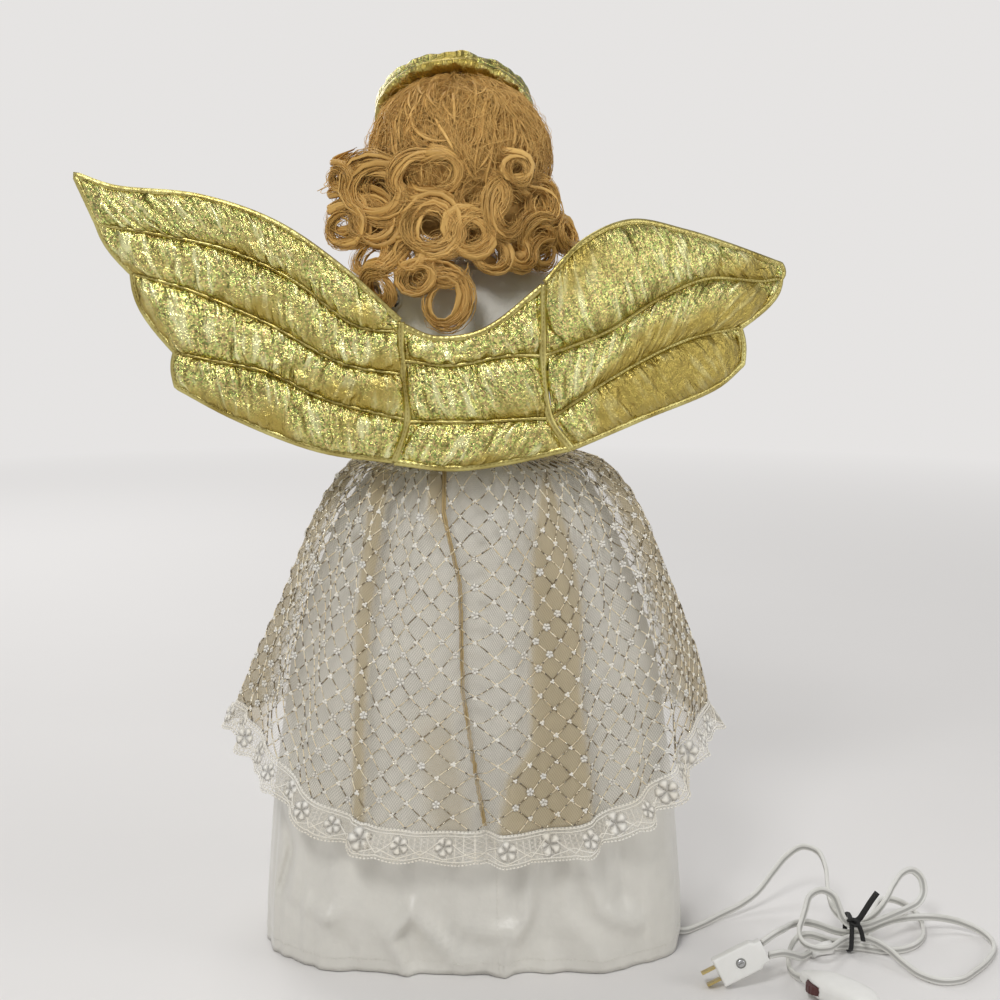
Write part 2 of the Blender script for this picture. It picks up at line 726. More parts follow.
def place_shapes(tree, points, shape, rotation, scale):
    links = {"Points": points, "Instance": shape, "Rotation": rotation, "Scale": scale}
    return node(tree, "GeometryNodeInstanceOnPoints", links).outputs[0]


def stitch_tree():
    """Short rounded stitches laid along a path at an even pitch."""
    sizes = [("Pitch", FLOAT, 0.003), ("Length", FLOAT, 0.0022), ("Radius", FLOAT, 0.0003)]
    tree, given, out = geometry_tree("stitches_along_path", sizes)
    settings = given.outputs
    curve = node(tree, "GeometryNodeMeshToCurve", {0: settings["Geometry"]})
    spots = node(
        tree, "GeometryNodeCurveToPoints", {0: curve.outputs[0], "Length": settings["Pitch"]}, mode="LENGTH"
    )
    bead = node(tree, "GeometryNodeMeshIcoSphere", {"Radius": 0.5, "Subdivisions": 1})
    size = node(
        tree, "ShaderNodeCombineXYZ", {0: settings["Radius"], 1: settings["Radius"], 2: settings["Length"]}
    )
    spread = node(tree, "ShaderNodeVectorMath", {0: size.outputs[0], 1: (2, 2, 1)}, operation="MULTIPLY")
    points = spots.outputs
    placed_beads = place_shapes(
        tree, points["Points"], bead.outputs[0], points["Rotation"], spread.outputs[0]
    )
    finish_tree(tree, given, out, placed_beads)


def thread_tree():
    """A round thread along every edge path of a mesh."""
    tree, given, out = geometry_tree(
        "thread_along_path", [("Radius", FLOAT, 0.0003), ("Sides", "NodeSocketInt", 4)]
    )
    settings = given.outputs
    curve = node(tree, "GeometryNodeMeshToCurve", {0: settings["Geometry"]})
    circle = {"Resolution": settings["Sides"], "Radius": settings["Radius"]}
    ring = node(tree, "GeometryNodeCurvePrimitiveCircle", circle)
    swept = node(
        tree, "GeometryNodeCurveToMesh", {0: curve.outputs[0], 1: ring.outputs[0], "Fill Caps": True}
    )
    finish_tree(tree, given, out, swept.outputs[0])


def motif_tree():
    """A small motif on every point, turned to its facing direction, with a seeded chance size."""
    inputs = [("Motif", "NodeSocketObject", None), ("Size", FLOAT, 1.0), ("Seed", "NodeSocketInt", 3)]
    tree, given, out = geometry_tree("motif_on_points", inputs)
    settings = given.outputs
    shape = node(tree, "GeometryNodeObjectInfo", {0: settings["Motif"]})
    facing = node(tree, "GeometryNodeInputNamedAttribute", {0: "facing"}, data_type="FLOAT_VECTOR")
    turned = node(tree, "FunctionNodeAlignRotationToVector", {"Vector": facing.outputs[0]}, axis="Z")
    chance = node(tree, "FunctionNodeRandomValue", {2: 0.8, 3: 1.15, 8: settings["Seed"]}, data_type="FLOAT")
    size = maths(tree, "MULTIPLY", chance.outputs[1], settings["Size"])
    scale = node(tree, "ShaderNodeCombineXYZ", {0: size, 1: size, 2: size}).outputs[0]
    points = node(tree, "GeometryNodeMeshToPoints", {0: settings["Geometry"]}).outputs[0]
    spread = place_shapes(tree, points, shape.outputs["Geometry"], turned.outputs[0], scale)
    finish_tree(tree, given, out, spread)


def grow_from(piece, group, **values):
    """Runs a geometry tree on an object and keeps its plain mesh."""
    tree = bpy.data.node_groups[group]
    modifier = piece.modifiers.new(group, "NODES")
    modifier.node_group = tree
    sockets = {item.name: item.identifier for item in tree.interface.items_tree if item.in_out == "INPUT"}
    for label, value in values.items():
        modifier[sockets[label]] = value
    bpy.context.view_layer.update()
    settle(piece)
    smooth_faces(piece.data)
    return piece


def path_object(name, paths):
    """Edges along each path, in millimetres, for a geometry tree to follow."""
    points, edges = [], []
    for path in paths:
        start = len(points)
        points += (np.asarray(path) * MM).tolist()
        edges += [(start + i, start + i + 1) for i in range(len(path) - 1)]
    mesh = bpy.data.meshes.new(name)
    mesh.from_pydata(points, edges, [])
    return new_object(name, mesh)


def stitches(name, paths, finish, pitch=3.0, length=2.2, radius=0.3):
    sizes = {"Pitch": pitch * MM, "Length": length * MM, "Radius": radius * MM}
    return grow_from(path_object(name, paths), "stitches_along_path", **sizes, Material=look(finish))


def threads(name, paths, finish, radius, sides=4):
    piece = path_object(name, paths)
    return grow_from(piece, "thread_along_path", Radius=radius * MM, Sides=sides, Material=look(finish))


def motifs(name, points, facing, motif, finish, size=1.0, seed=3):
    mesh = bpy.data.meshes.new(name)
    mesh.from_pydata((np.asarray(points) * MM).tolist(), [], [])
    keep_values(mesh, "facing", facing)
    piece = new_object(name, mesh)
    return grow_from(piece, "motif_on_points", Motif=motif, Size=size, Seed=seed, Material=look(finish))


# Cords and plug

# Points chosen by hand along each lead: from the hem to the plug, and from the plug to the switch
POWER_ROUTE = [
    (-112, 24, 17.5), (-123, 27.5, 14), (-134, 30, 8.5), (-146, 27, 4.4), (-159, 16, 3.4), (-176, 1, 5),
    (-192, -10, 8), (-206, -20, 14), (-218, -29, 25), (-229, -36, 35), (-240, -37, 42), (-250, -28, 42),
    (-253, -12, 36.5), (-251.5, 4, 31), (-250, 18, 27), (-250.8, 33.5, 22.8), (-257.2, 45, 19.7),
    (-266.5, 47.3, 19.4), (-277, 41, 22), (-287, 31, 28), (-295, 21, 36), (-303, 12.5, 41.3),
    (-311.3, 7.2, 41.2),
    (-317.9, 6.5, 34.8), (-319.1, 10.1, 26.2), (-314, 16.5, 20.8), (-304, 26.5, 20.3), (-292, 39, 21.5),
    (-280, 48, 21), (-269, 53, 19.4), (-260, 54, 19.6), (-253.8, 52.3, 23.6), (-251, 48.5, 30.5),
    (-247.5, 45.5, 38), (-239.5, 44.5, 41.5), (-231.3, 46.5, 38.2), (-227.8, 50.5, 30.5),
    (-224.5, 56.5, 24.8), (-221.5, 63, 20.8), (-221, 71, 17.8), (-224, 78, 16), (-231, 81.3, 14.9),
    (-238.5, 78.5, 13.9), (-244.5, 71, 12.8), (-250, 62, 11.6), (-257, 55, 11), (-265, 54.5, 11),
    (-273, 58.5, 10.6), (-281.5, 68, 8.5), (-289, 82, 5), (-297, 97, 3.3), (-309, 106.5, 3.2),
    (-322, 104, 3.2), (-335, 91, 3.2), (-347.5, 75, 3.2), (-356.5, 58, 3.2), (-359.5, 42, 3.6),
    (-354, 28.5, 5.5), (-341, 21, 8.8), (-326, 20.5, 11.5), (-311, 24, 13.2), (-296, 31, 14.6),
    (-283, 39.5, 14.6), (-272, 45, 12.5), (-261, 46.5, 11), (-250, 45, 11.8), (-239, 43, 15.2),
    (-228.5, 46, 18.8), (-219, 54, 20.8), (-212.5, 65, 23.2), (-208.5, 78, 27.8), (-204.5, 90, 32),
    (-197.5, 99.5, 32.8), (-189.5, 103.1, 28.7),
]
SWITCH_ROUTE = [
    (-194, 105.1, 20.9), (-202.5, 102, 21), (-210.5, 94, 16.5), (-216.5, 83.5, 10.5), (-222.5, 72, 4.8),
    (-233, 61, 4.4), (-245, 55.5, 4.7), (-256, 53.5, 4.6), (-268, 54.5, 4), (-280, 57.5, 3.2),
    (-292, 57, 3.2), (-303, 50.5, 3.2), (-312, 38, 3.2), (-316.5, 23, 3.8), (-317, 8, 6.2),
    (-311.5, -4, 9.8), (-301, -9, 12.8), (-291, -4, 13.4), (-285, 7.5, 11.8), (-280.5, 20, 8.8),
    (-275, 32, 5.6), (-267, 42, 4.4), (-257, 46, 4.6), (-248, 46.5, 4.6), (-240, 48, 8), (-231, 50.5, 11.5),
    (-223, 56, 12.5), (-217, 65, 11.5), (-212.5, 75, 7.5), (-211, 86, 4), (-212.5, 96, 3.6),
    (-216, 107, 5.5),
]


PLUG_SIZE = (34.0, 19.0, 12.5)
SCREW_X = -1.0
TIE_CENTRE = (-258.0, 49.6, 13.3)
TIE_TAILS = [
    [(-258, 58, 24.4), (-262, 61, 27), (-265.5, 62, 33), (-269.5, 62, 40), (-274, 62, 47)],
    [(-260, 60.2, 25.4), (-262.5, 63, 22.5), (-264, 64.5, 18), (-265, 65, 13)],
]
TIE_KNOT = [(-256, 56, 24), (-259, 59.5, 26.5), (-262, 61.5, 25.5), (-261, 61.5, 23), (-257.5, 59, 23.4)]
# Case: distance along it, half width and half height
CASE_STATIONS = [
    (0, 3.6, 3.4), (6, 5.4, 5), (16, 10.5, 7.4), (26, 12.5, 8), (40, 12.5, 8), (52, 10.5, 7.4), (60, 5.4, 5),
    (62, 4, 3.6),
]


def twin_section(width, thick):
    """Two round cores side by side with a shallow groove between them."""
    radius = thick / 2
    offset = width / 2 - radius
    points = []
    for side in (1, -1):
        for a in np.linspace(-125, 125, 9):
            turn = math.radians(a) + (0 if side > 0 else math.pi)
            points.append((side * offset + radius * math.cos(turn), radius * math.sin(turn)))
    return np.array(points)


def route_points(route, steps=8):
    return curve_points(route, np.linspace(0, 1, (len(route) - 1) * steps + 1))


def cord_piece(name, route, width):
    """A flat twin lead along a route, and its path."""
    path = route_points(route)
    piece = tube_piece(name, path, twin_section(width, width / 2), "cord_vinyl", upright=0.065, around=16)
    away = np.array([np.linalg.norm(path - point, axis=1).min() for point in read_points(piece)])
    keep_values(piece.data, "groove", away < width * 0.27)
    return piece, path


def moulded(name, rings, finish, bevel=None):
    """A closed body through rings of points, with its edges rounded where asked."""
    piece = grid_piece(name, np.array(rings), finish, wrap=True, caps=True)
    if bevel:
        change(piece, "BEVEL", width=bevel * MM, segments=2, limit_method="ANGLE")
        settle(piece)
    return piece


def placed(points, matrix):
    rotation = np.array(matrix)[:3, :3]
    return np.asarray(points) @ rotation.T + np.array(matrix)[:3, 3]


def screw_rings(sizes, place):
    """Rings about the plug's screw, from pairs of radius and height."""
    turns = full_turn(24)
    return [placed([(SCREW_X + r * math.cos(a), h, r * math.sin(a)) for a in turns], place) for r, h in sizes]


def make_plug():
    """Chamfered moulding with a narrower nose, and a slotted screw in a round well."""
    tip, roll = math.radians(14), math.radians(180 + 26)
    turned = Matrix.Rotation(tip, 4, "X") @ Matrix.Rotation(roll, 4, "Y")
    place = Matrix.Translation((-175.6, 106, 17.2)) @ turned
    length, wide, thick = PLUG_SIZE
    l, w, h = length / 2, wide / 2, thick / 2
    outline = [
        (-l, -w), (l - 7, -w), (l - 4, -w + 2), (l, -w + 2), (l, w - 2), (l - 4, w - 2), (l - 7, w), (-l, w)
    ]
    rings = []
    for inset, height in ((0.9, -h), (0.0, -h + 0.9), (0.0, h - 0.9), (0.9, h)):
        ring = [(x - math.copysign(inset, x), height, -(y - math.copysign(inset, y))) for x, y in outline]
        rings.append(placed(ring, place))
    body = moulded("plug_moulding_body", rings, "plug_moulding", 0.5)
    rim = screw_rings(((3.5, h - 2.6), (3.5, h + 0.02), (4.3, h + 0.02), (4.4, h - 0.3)), place)
    plug = merge_pieces("plug_shell", [body, moulded("plug_rim", rim, "plug_moulding")])
    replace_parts(ride(plug, "figure"), "plug_body")
    head = screw_rings(((0.3, 5.2), (2.3, 5.2), (2.5, 6.3), (2.3, 6.75), (1.6, 6.95), (0.3, 7.0)), place)
    well = screw_rings(((0.3, 5.4), (3.3, 5.4), (3.4, 6.3), (3.2, 6.42), (2.2, 6.42), (0.3, 6.42)), place)
    corners = ((-2.0, -0.3), (2.0, -0.3), (2.0, 0.3), (-2.0, 0.3))
    slot = [[(SCREW_X + x, height, z) for x, z in corners] for height in (6.6, 7.08)]
    parts = [
        moulded("screw_head", head, "plated_steel"),
        moulded("screw_well", well, "groove_shadow"),
        moulded("screw_groove", placed(slot, place), "groove_shadow"),
    ]
    screw = merge_pieces("plug_screw_head", parts)
    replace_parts(ride(screw, "figure"), "plug_screw")
    return plug, screw


def make_sleeve():
    """Paper sleeve wound round the switch lead."""
    path = route_points(SWITCH_ROUTE, 4)
    keep = (path[:, 0] > -246) & (path[:, 0] < -228) & (path[:, 1] > 54) & (path[:, 2] < 6.6)
    spiral = sweep_rings(path[keep], lambda t: round_section(4.3 + 0.35 * math.sin(t * 26), 20), 0.1)
    wrap = moulded("paper_sleeve", spiral, "blank_paper")
    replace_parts(ride(wrap, "figure"), "cord_wrap")
    return wrap


def make_tie():
    """Flat strip round the hank, with two tails and a knot."""
    x, y, z = TIE_CENTRE
    turn = full_turn(48)
    loop = np.stack(
        [np.full(48, x), y + 11.2 * power(np.cos(turn), 0.7), z + 12.1 * power(np.sin(turn), 0.7)], -1
    )
    out = loop - np.array(TIE_CENTRE)
    out /= np.linalg.norm(out, axis=1)[:, None]
    section = [
        (1.6, 0.05), (0.35, 0.25), (-0.35, 0.25), (-1.6, 0.05), (-1.6, 0.35), (-0.4, 0.75), (0.4, 0.75),
        (1.6, 0.35),
    ]
    rings = np.array([[p + np.array([wide, 0, 0]) + o * r for wide, r in section] for p, o in zip(loop, out)])
    closed = np.concatenate([rings, rings[:1]])
    parts = [mend(grid_piece("tie_band", closed, "tie_plastic", wrap=True), 1e-5)]
    shape = [(2.0, 0.0), (0.4, 0.4), (-0.4, 0.4), (-2.0, 0.0), (-0.4, -0.4), (0.4, -0.4)]
    places = np.linspace(0, 1, 24)
    for i, route in enumerate(TIE_TAILS):
        parts.append(tube_piece(f"tie_tail_{i}", curve_points(route, places), shape, "tie_plastic"))
    parts.append(tube_piece("tie_knot", curve_points(TIE_KNOT, places), round_section(1.3, 8), "tie_plastic"))
    tie = merge_pieces("twist_tie_strip", parts)
    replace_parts(ride(tie, "figure"), "twist_tie")
    return tie


def make_switch():
    """Boat-shaped case in two halves with a parting line, and a slot for the wheel."""
    yaw = Matrix.Translation((-216.6, 108.2, 6)) @ Matrix.Rotation(math.radians(128), 4, "Z")
    turn = full_turn(48)
    rings = []
    for x, wide, high in curve_points(CASE_STATIONS, np.linspace(0, 1, 57)):
        y = wide * power(np.cos(turn), 2 / 2.8)
        z = high * power(np.sin(turn), 2 / 2.8)
        parting = 1 - 0.045 * np.exp(-((z / 0.5) ** 2))
        rings.append(placed(np.stack([np.full(48, x), y * parting, z + 2.3], -1), yaw))
    case = moulded("case_body", rings, "plug_moulding")
    turn = full_turn(40)
    circle = [
        np.stack([18 + 8.4 * np.cos(turn), -6 + 8.4 * np.sin(turn), np.full(40, z)], -1) for z in (-0.9, 5.5)
    ]
    cutter = moulded("wheel_slot", [placed(ring, yaw) for ring in circle], "plug_moulding")
    change(case, "BOOLEAN", object=cutter, operation="DIFFERENCE")
    settle(case)
    bpy.data.objects.remove(cutter)
    case.name = "thumb_switch_case"
    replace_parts(ride(case, "figure"), "switch_case")
    return case


def make_relief():
    """Tapered and ribbed strain relief, from the lug on the base to the mains lead."""
    tip = np.array(POWER_ROUTE[0], float)
    way = np.array([-11, 3.5, -2.0])
    way /= np.linalg.norm(way)
    line = np.array([tip - way * s for s in np.linspace(26.3, 0.3, 60)])

    def section(t):
        groove = 0.5 if 0.25 < t < 0.95 and math.sin(t * 60) > 0.2 else 0.0
        return round_section(5.0 - 1.6 * t - groove, 20)

    relief = tube_piece("ribbed_relief", line, section, "cord_vinyl")
    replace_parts(ride(relief, "figure"), "strain_relief")


def make_cords(sizes):
    """Both leads, and all that is moulded on them or tied round them."""
    width = sizes.cord_width * 1000
    power_piece, power_path = cord_piece("power_lead", POWER_ROUTE, width)
    switch_piece, switch_path = cord_piece("switch_lead", SWITCH_ROUTE, width)
    plug, screw = make_plug()
    wrap = make_sleeve()
    tie = make_tie()
    case = make_switch()
    for piece in (power_piece, switch_piece):
        ride(piece, "figure")
    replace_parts(power_piece, "power_cord")
    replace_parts(switch_piece, "switch_cord")
    make_relief()


# Wings and halo

# The wings' middle, and how far they stand out to the front and the rear of it
WING_Y = 84.0
WING_FRONT, WING_REAR = 6.8, 10.5
# Seams from the top down, in X and Z
SEAMS = {
    "left": [
        [(47.5, 437), (83, 469), (126, 498), (174, 514), (231, 520), (255, 528)],
        [(48, 430), (75, 434), (116, 463), (156, 481), (197, 490), (241, 497)],
        [(45.5, 403), (84, 410), (132, 435), (183, 456), (219, 466)],
        [(43.5, 374), (95, 387), (133, 404), (174, 412), (192, 416)],
        [(52.5, 348), (101, 355), (155, 375), (192, 394)],
    ],
    "centre": [
        [(46.6, 434), (27, 426), (1, 428), (-15, 436), (-43, 459)],
        [(45.5, 412), (15, 409), (-20, 415), (-42.6, 415)],
        [(42.6, 373), (-3, 373), (-38, 375), (-47.4, 375)],
        [(51.7, 347), (15, 343), (-20, 347), (-61, 356)],
    ],
    "right": [
        [(-44, 461), (-69, 486), (-100, 498), (-138, 491), (-168, 482), (-211, 467)],
        [(-43.5, 415), (-86, 429), (-120, 448), (-155, 460), (-196, 457), (-211, 458)],
        [(-48.3, 375), (-92, 400), (-140, 420), (-180, 426)],
        [(-62, 355), (-111, 371), (-165, 388), (-183, 401)],
    ],
}
# Seams between the wings and the centre panel
JOINS = [
    [(47, 436.5), (47, 421), (45.5, 403), (43.3, 374), (52, 347.5)],
    [(-43.5, 460), (-43.2, 440), (-43, 415), (-47.8, 375), (-61.5, 355.5)],
]
# How far the tip of each feather bulges
BULGE = {"left": [0, 4, 8, 2], "centre": [0, 0, 0], "right": [2, 9, 2]}
# How far each layer stands out before the cloth is filled
REAR_SWELL, FRONT_SWELL = 5.5, 3.5
# Cloth is filled at a larger size, where the solver is steadier
CLOTH_SCALE = 20.0


def wing_depth(side, x):
    """How far back a wing's middle lies: the side wings sweep to the front."""
    if side == "left":
        return WING_Y - 26 * (np.maximum(0, x - 44) / 208) ** 1.5
    if side == "right":
        return WING_Y - 110 * (np.maximum(0, -46 - x) / 165) ** 1.15
    return WING_Y + 0 * x


def feather_grid(upper, lower, bulge, tip, step):
    """Flat points of one feather between two seams, in X and Z, and its length in millimetres."""
    fine = np.linspace(0, 1, 200)
    top, low = curve_points(upper, fine), curve_points(lower, fine)
    middle = (top + low) / 2
    along = distances(middle)
    width = np.linalg.norm(top - low, axis=1)
    nu = max(8, int(along[-1] / step))
    nv = max(8, int(width.max() / step))
    share = np.interp(np.linspace(0, along[-1], nu), along, fine)
    top, low = curve_points(upper, share), curve_points(lower, share)
    run = np.gradient(top, axis=0) + np.gradient(low, axis=0)
    run /= np.linalg.norm(run, axis=1)[:, None]
    v = np.linspace(0, 1, nv)
    grid = top[:, None] * (1 - v)[None, :, None] + low[:, None] * v[None, :, None]
    if tip:
        reach = bulge * np.sin(np.pi * v)[None] * np.maximum(0, (share - 0.8) / 0.2)[:, None]
        grid = grid + run[:, None] * reach[..., None]
    return grid, along[-1]


def pillow(flat, length, start, seed):
    """Two layers of a flat grid that share their edge: points, faces, edge, and distance along and across."""
    nu, nv = flat.shape[:2]
    back = np.arange(nu * nv).reshape(nu, nv) + start
    front = back.copy()
    front[1:-1, 1:-1] = np.arange((nu - 2) * (nv - 2)).reshape(nu - 2, nv - 2) + start + nu * nv
    u, v = np.meshgrid(np.linspace(0, 1, nu), np.linspace(0, 1, nv), indexing="ij")
    swell = np.sqrt(np.clip(np.sin(np.pi * u) ** 0.5 * np.sin(np.pi * v), 0, 1))
    random = np.random.default_rng(seed)
    layers = []
    for side in (1, -1):
        rise = REAR_SWELL if side > 0 else FRONT_SWELL
        y = side * (0.4 + rise * swell) + random.normal(0, 0.25, swell.shape)
        layers.append(np.stack([flat[..., 0], y, flat[..., 1]], -1))
    layers[0][0, :, 1] = layers[0][-1, :, 1] = 0
    layers[0][:, 0, 1] = layers[0][:, -1, 1] = 0
    points = np.concatenate([layers[0].reshape(-1, 3), layers[1][1:-1, 1:-1].reshape(-1, 3)])
    way = np.stack([u * length * MM, v, 0 * v + seed * 0.37 % 1], -1)
    way = np.concatenate([way.reshape(-1, 3), way[1:-1, 1:-1].reshape(-1, 3)])
    faces = []
    for ids, flip in ((back, False), (front, True)):
        a, b, c, d = ids[:-1, :-1], ids[1:, :-1], ids[1:, 1:], ids[:-1, 1:]
        quad = np.stack([a, b, c, d], -1).reshape(-1, 4)
        faces.append(quad[:, ::-1] if flip else quad)
    edge = np.unique(np.concatenate([back[0], back[-1], back[:, 0], back[:, -1]]))
    return points, np.concatenate(faces), edge, way


def inflate(piece, pins, pressure, grow, frames=26):
    """Fills a closed cloth shape whose pins hold still, cut a little larger than the pins' spacing."""
    piece.data.transform(Matrix.Scale(CLOTH_SCALE, 4))
    group = piece.vertex_groups.new(name="pins")
    group.add([int(i) for i in pins], 1.0, "REPLACE")
    cloth = piece.modifiers.new("fill", "CLOTH")
    settings = cloth.settings
    settings.vertex_group_mass = "pins"
    settings.quality = 6
    settings.mass = 0.15
    settings.tension_stiffness = settings.compression_stiffness = 25
    settings.shear_stiffness = 8
    settings.bending_stiffness = 0.05
    settings.tension_damping = settings.compression_damping = 8
    settings.use_pressure = True
    settings.uniform_pressure_force = pressure
    settings.shrink_min = -grow
    settings.effector_weights.gravity = 0
    cloth.collision_settings.use_collision = False
    cloth.collision_settings.use_self_collision = False
    cloth.point_cache.frame_start = 1
    cloth.point_cache.frame_end = frames
    scene = bpy.context.scene
    for moment in range(1, frames + 1):
        scene.frame_set(moment)
    settle(piece)
    scene.frame_set(1)
    piece.vertex_groups.clear()
    piece.data.transform(Matrix.Scale(1 / CLOTH_SCALE, 4))


def read_way(piece):
    """The distance along a seam, the share across and the feather's own number."""
    way = np.zeros(len(piece.data.vertices) * 3, np.float32)
    piece.data.attributes["seam_way"].data.foreach_get("vector", way)
    return way.reshape(-1, 3)


def pucker(way, seed):
    """Short folds square to the seams and a few long creases, in millimetres."""
    u, v, number = way[:, 0] / MM, way[:, 1], way[:, 2]
    rim = np.exp(-v / 0.17) * np.minimum(1, v * 12) + np.exp(-(1 - v) / 0.17) * np.minimum(1, (1 - v) * 12)
    turn = u / 6.3 + number * 9
    waves = np.sin(turn * 2 + 2.2 * np.sin(turn * 0.31)) + 0.6 * np.sin(turn * 3.7 + 4 * v)
    raised = 0.75 * rim * waves
    random = np.random.default_rng(seed)
    for number_wanted in np.unique(np.round(number, 3)):
        mine = np.abs(number - number_wanted) < 2e-3
        reach = u[mine].max()
        for place in random.uniform(0.05, 0.95, max(2, int(reach / 26))) * reach:
            lean, width, depth = random.uniform(-9, 9), random.uniform(1.3, 2.6), random.uniform(0.7, 1.6)
            part = random.uniform(0.2, 0.8)
            line = u[mine] - place - lean * (v[mine] - part)
            span = np.exp(-(((v[mine] - part) / 0.42) ** 2)) * np.clip(np.sin(np.pi * v[mine]), 0, 1) ** 0.3
            raised[mine] += depth * span * (0.55 * ridge(line, width, width) - ridge(line, 0, width))
    return raised


def wing_outline(side):
    """The outer edge of a wing as one line, its inner seams, and all its seams."""
    seams = SEAMS[side]
    lines = [curve_points(s, np.linspace(0, 1, 60)) for s in seams]
    pairs = zip(seams, seams[1:], BULGE[side])
    far = np.concatenate([feather_grid(*pair, side != "centre", 2.0)[0][-1] for pair in pairs])
    outline = np.concatenate([lines[0], far[1:], lines[-1][::-1][1:]])
    return outline, lines[1:-1], lines


def make_quilt(side):
    """The filled feathers of a wing, puckered and bent to its depth."""
    seams = SEAMS[side]
    step = 2.35
    feathers = []
    start = 0
    for i, pair in enumerate(zip(seams, seams[1:], BULGE[side])):
        grid, length = feather_grid(*pair, side != "centre", step)
        feathers.append(pillow(grid, length, start, 11 + i))
        start += len(feathers[-1][0])
    points, faces, pins, way = (np.concatenate(part) for part in zip(*feathers))
    piece = mesh_piece(f"quilt_{side}", points, faces, "gold_foil")
    keep_values(piece.data, "seam_way", way)
    inflate(piece, pins, 7.0, 0.13)
    refine(piece)
    shape = read_points(piece)
    lift = shape[:, 1]
    lift = lift + np.sign(lift) * pucker(read_way(piece), 5) * np.minimum(1, np.abs(lift) / 1.5)
    half = np.where(lift > 0, WING_REAR, WING_FRONT)
    shape[:, 1] = half * np.tanh(lift / half) + wing_depth(side, shape[:, 0])
    write_points(piece, shape)
    return piece


def make_wing(side):
    """A quilt with a flat edge round it, a narrow web under each seam, and stitches on both."""
    tip = side != "centre"
    parts = [make_quilt(side)]
    outline, inner, lines = wing_outline(side)

    def bent(line, lift=0.0):
        line = np.asarray(line)
        return np.stack([line[:, 0], wing_depth(side, line[:, 0]) + lift, line[:, 1]], -1)

    rims = [outline] if tip else [lines[0], lines[-1]]
    for k, line in enumerate(rims):
        edge_line = even_points(bent(line), 260 if tip else 90)
        edge_line[:, 1] += np.sin(np.arange(len(edge_line)) * 1.9) * 0.2
        parts.append(
            tube_piece(f"rim_{side}_{k}", edge_line, round_section(2.3, 10, 0.5), "gold_edge", upright=0.2)
        )
    for k, line in enumerate(inner):
        path = even_points(bent(line), 110)
        parts.append(tube_piece(f"web_{side}_{k}", path, round_section(1.3, 8, 0.8), "gold_edge"))
    joins = [] if tip else [curve_points(line, np.linspace(0, 1, 60)) for line in JOINS]
    for k, line in enumerate(joins):
        path = even_points(bent(line), 90)
        parts.append(tube_piece(f"join_{k}", path, round_section(2.6, 10, 0.75), "gold_edge", upright=0.2))
    piece = merge_pieces(f"quilted_{side}_wing" if tip else "quilted_centre_panel", parts)
    sewn = [even_points(bent(line, lift), 220) for line in inner for lift in (1.5, -1.5)]
    sewn += [even_points(bent(line, lift), 260) for line in rims for lift in (1.35, -1.35)]
    sewn += [even_points(bent(line, 2.0), 120) for line in joins]
    seam = stitches(f"wing_stitches_{side}", sewn, "gold_thread", 2.9, 2.1, 0.3)
    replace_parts(ride(piece, "figure"), f"{side}_wing" if tip else "wing_centre_panel")
    ride(seam, "figure")


HALO_CENTRE = (14.0, -24.0, 568.0)
HALO_TILT = math.radians(42)
# Radius of the ring, and half depth and half height of its band
HALO_RING, HALO_TUBE, HALO_BAND = 46.0, 5.5, 8.5


def make_halo():
    """A padded band bent into a ring, with its sharp end lapped over the other at the rear."""
    rows, cols = ((190, 26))
    start = math.radians(96)
    turn = np.linspace(0, 2 * np.pi + math.radians(14), rows)
    angle = start + turn
    around = full_turn(cols)
    lap = smoothstep((turn - 2 * np.pi + 0.2) / 0.25)
    taper = np.minimum(smoothstep(turn / 0.18 + 0.25), smoothstep((turn[-1] - turn) / 0.12 + 0.3))
    ring = HALO_RING + 1.8 * lap - 0.8 * smoothstep(1 - turn / 0.3)
    radial = (HALO_TUBE - 0.7) * taper[:, None] * np.cos(around)[None]
    height = (HALO_BAND - 0.6) * (0.55 + 0.45 * taper)[:, None] * power(np.sin(around), 0.85)[None]
    r = ring[:, None] + radial
    grid = np.stack([r * np.cos(angle)[:, None], r * np.sin(angle)[:, None], height + 1.2 * lap[:, None]], -1)
    piece = grid_piece("halo_band", grid, "gold_foil", wrap=True, caps=True)
    u, v = np.meshgrid(turn * HALO_RING * MM, around / (2 * np.pi), indexing="ij")
    keep_values(piece.data, "seam_way", np.stack([u, v, 0 * v + 0.4], -1))
    seam = [i * cols + cols // 2 for i in range(rows)]
    ends = list(range(cols)) + list(range((rows - 1) * cols, rows * cols))
    inflate(piece, seam + ends, 2.5, 0.08, 18)
    refine(piece)
    shape = read_points(piece)
    way = read_way(piece)
    angle_now = way[:, 0] / MM / HALO_RING
    crush = 0.8 * np.sin(angle_now * 13 + 3 * np.sin(way[:, 1] * 6.28))
    crush = crush + 0.6 * np.sin(angle_now * 29 + way[:, 1] * 12)
    flat = np.hypot(shape[:, 0], shape[:, 1])
    limit = HALO_BAND + 0.3
    shape[:, 2] = limit * np.tanh(shape[:, 2] / limit * 1.15)
    away = np.clip(flat - HALO_RING + crush * 0.8, -HALO_TUBE - 0.4, HALO_TUBE + 2.2)
    shape[:, :2] *= ((HALO_RING + away) / flat)[:, None]
    tilt = Matrix.Translation(HALO_CENTRE) @ Matrix.Rotation(HALO_TILT, 4, "X")
    write_points(piece, placed(shape, tilt))
    inner = np.stack([np.cos(angle), np.sin(angle), 0 * angle], -1) * (HALO_RING - 5.6)
    seam = stitches("halo_stitches", [placed(inner, tilt)], "gold_thread", 3.0, 2.2, 0.28)
    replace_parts(ride(piece, "head"), "halo")
    ride(seam, "head")


# Hair

# The crown of the wig, and the hollow that the face looks out of
HAIR_CENTRE = np.array([10.5, 2.0, 538.0])
HAIR_RADII = np.array([60.0, 53.0, 56.0])
FACE_HOLLOW = np.array([7.0, -54.0, 508.0])
FACE_HOLLOW_RADII = np.array([33.0, 44.0, 44.0])
THROAT_Y = 8.0
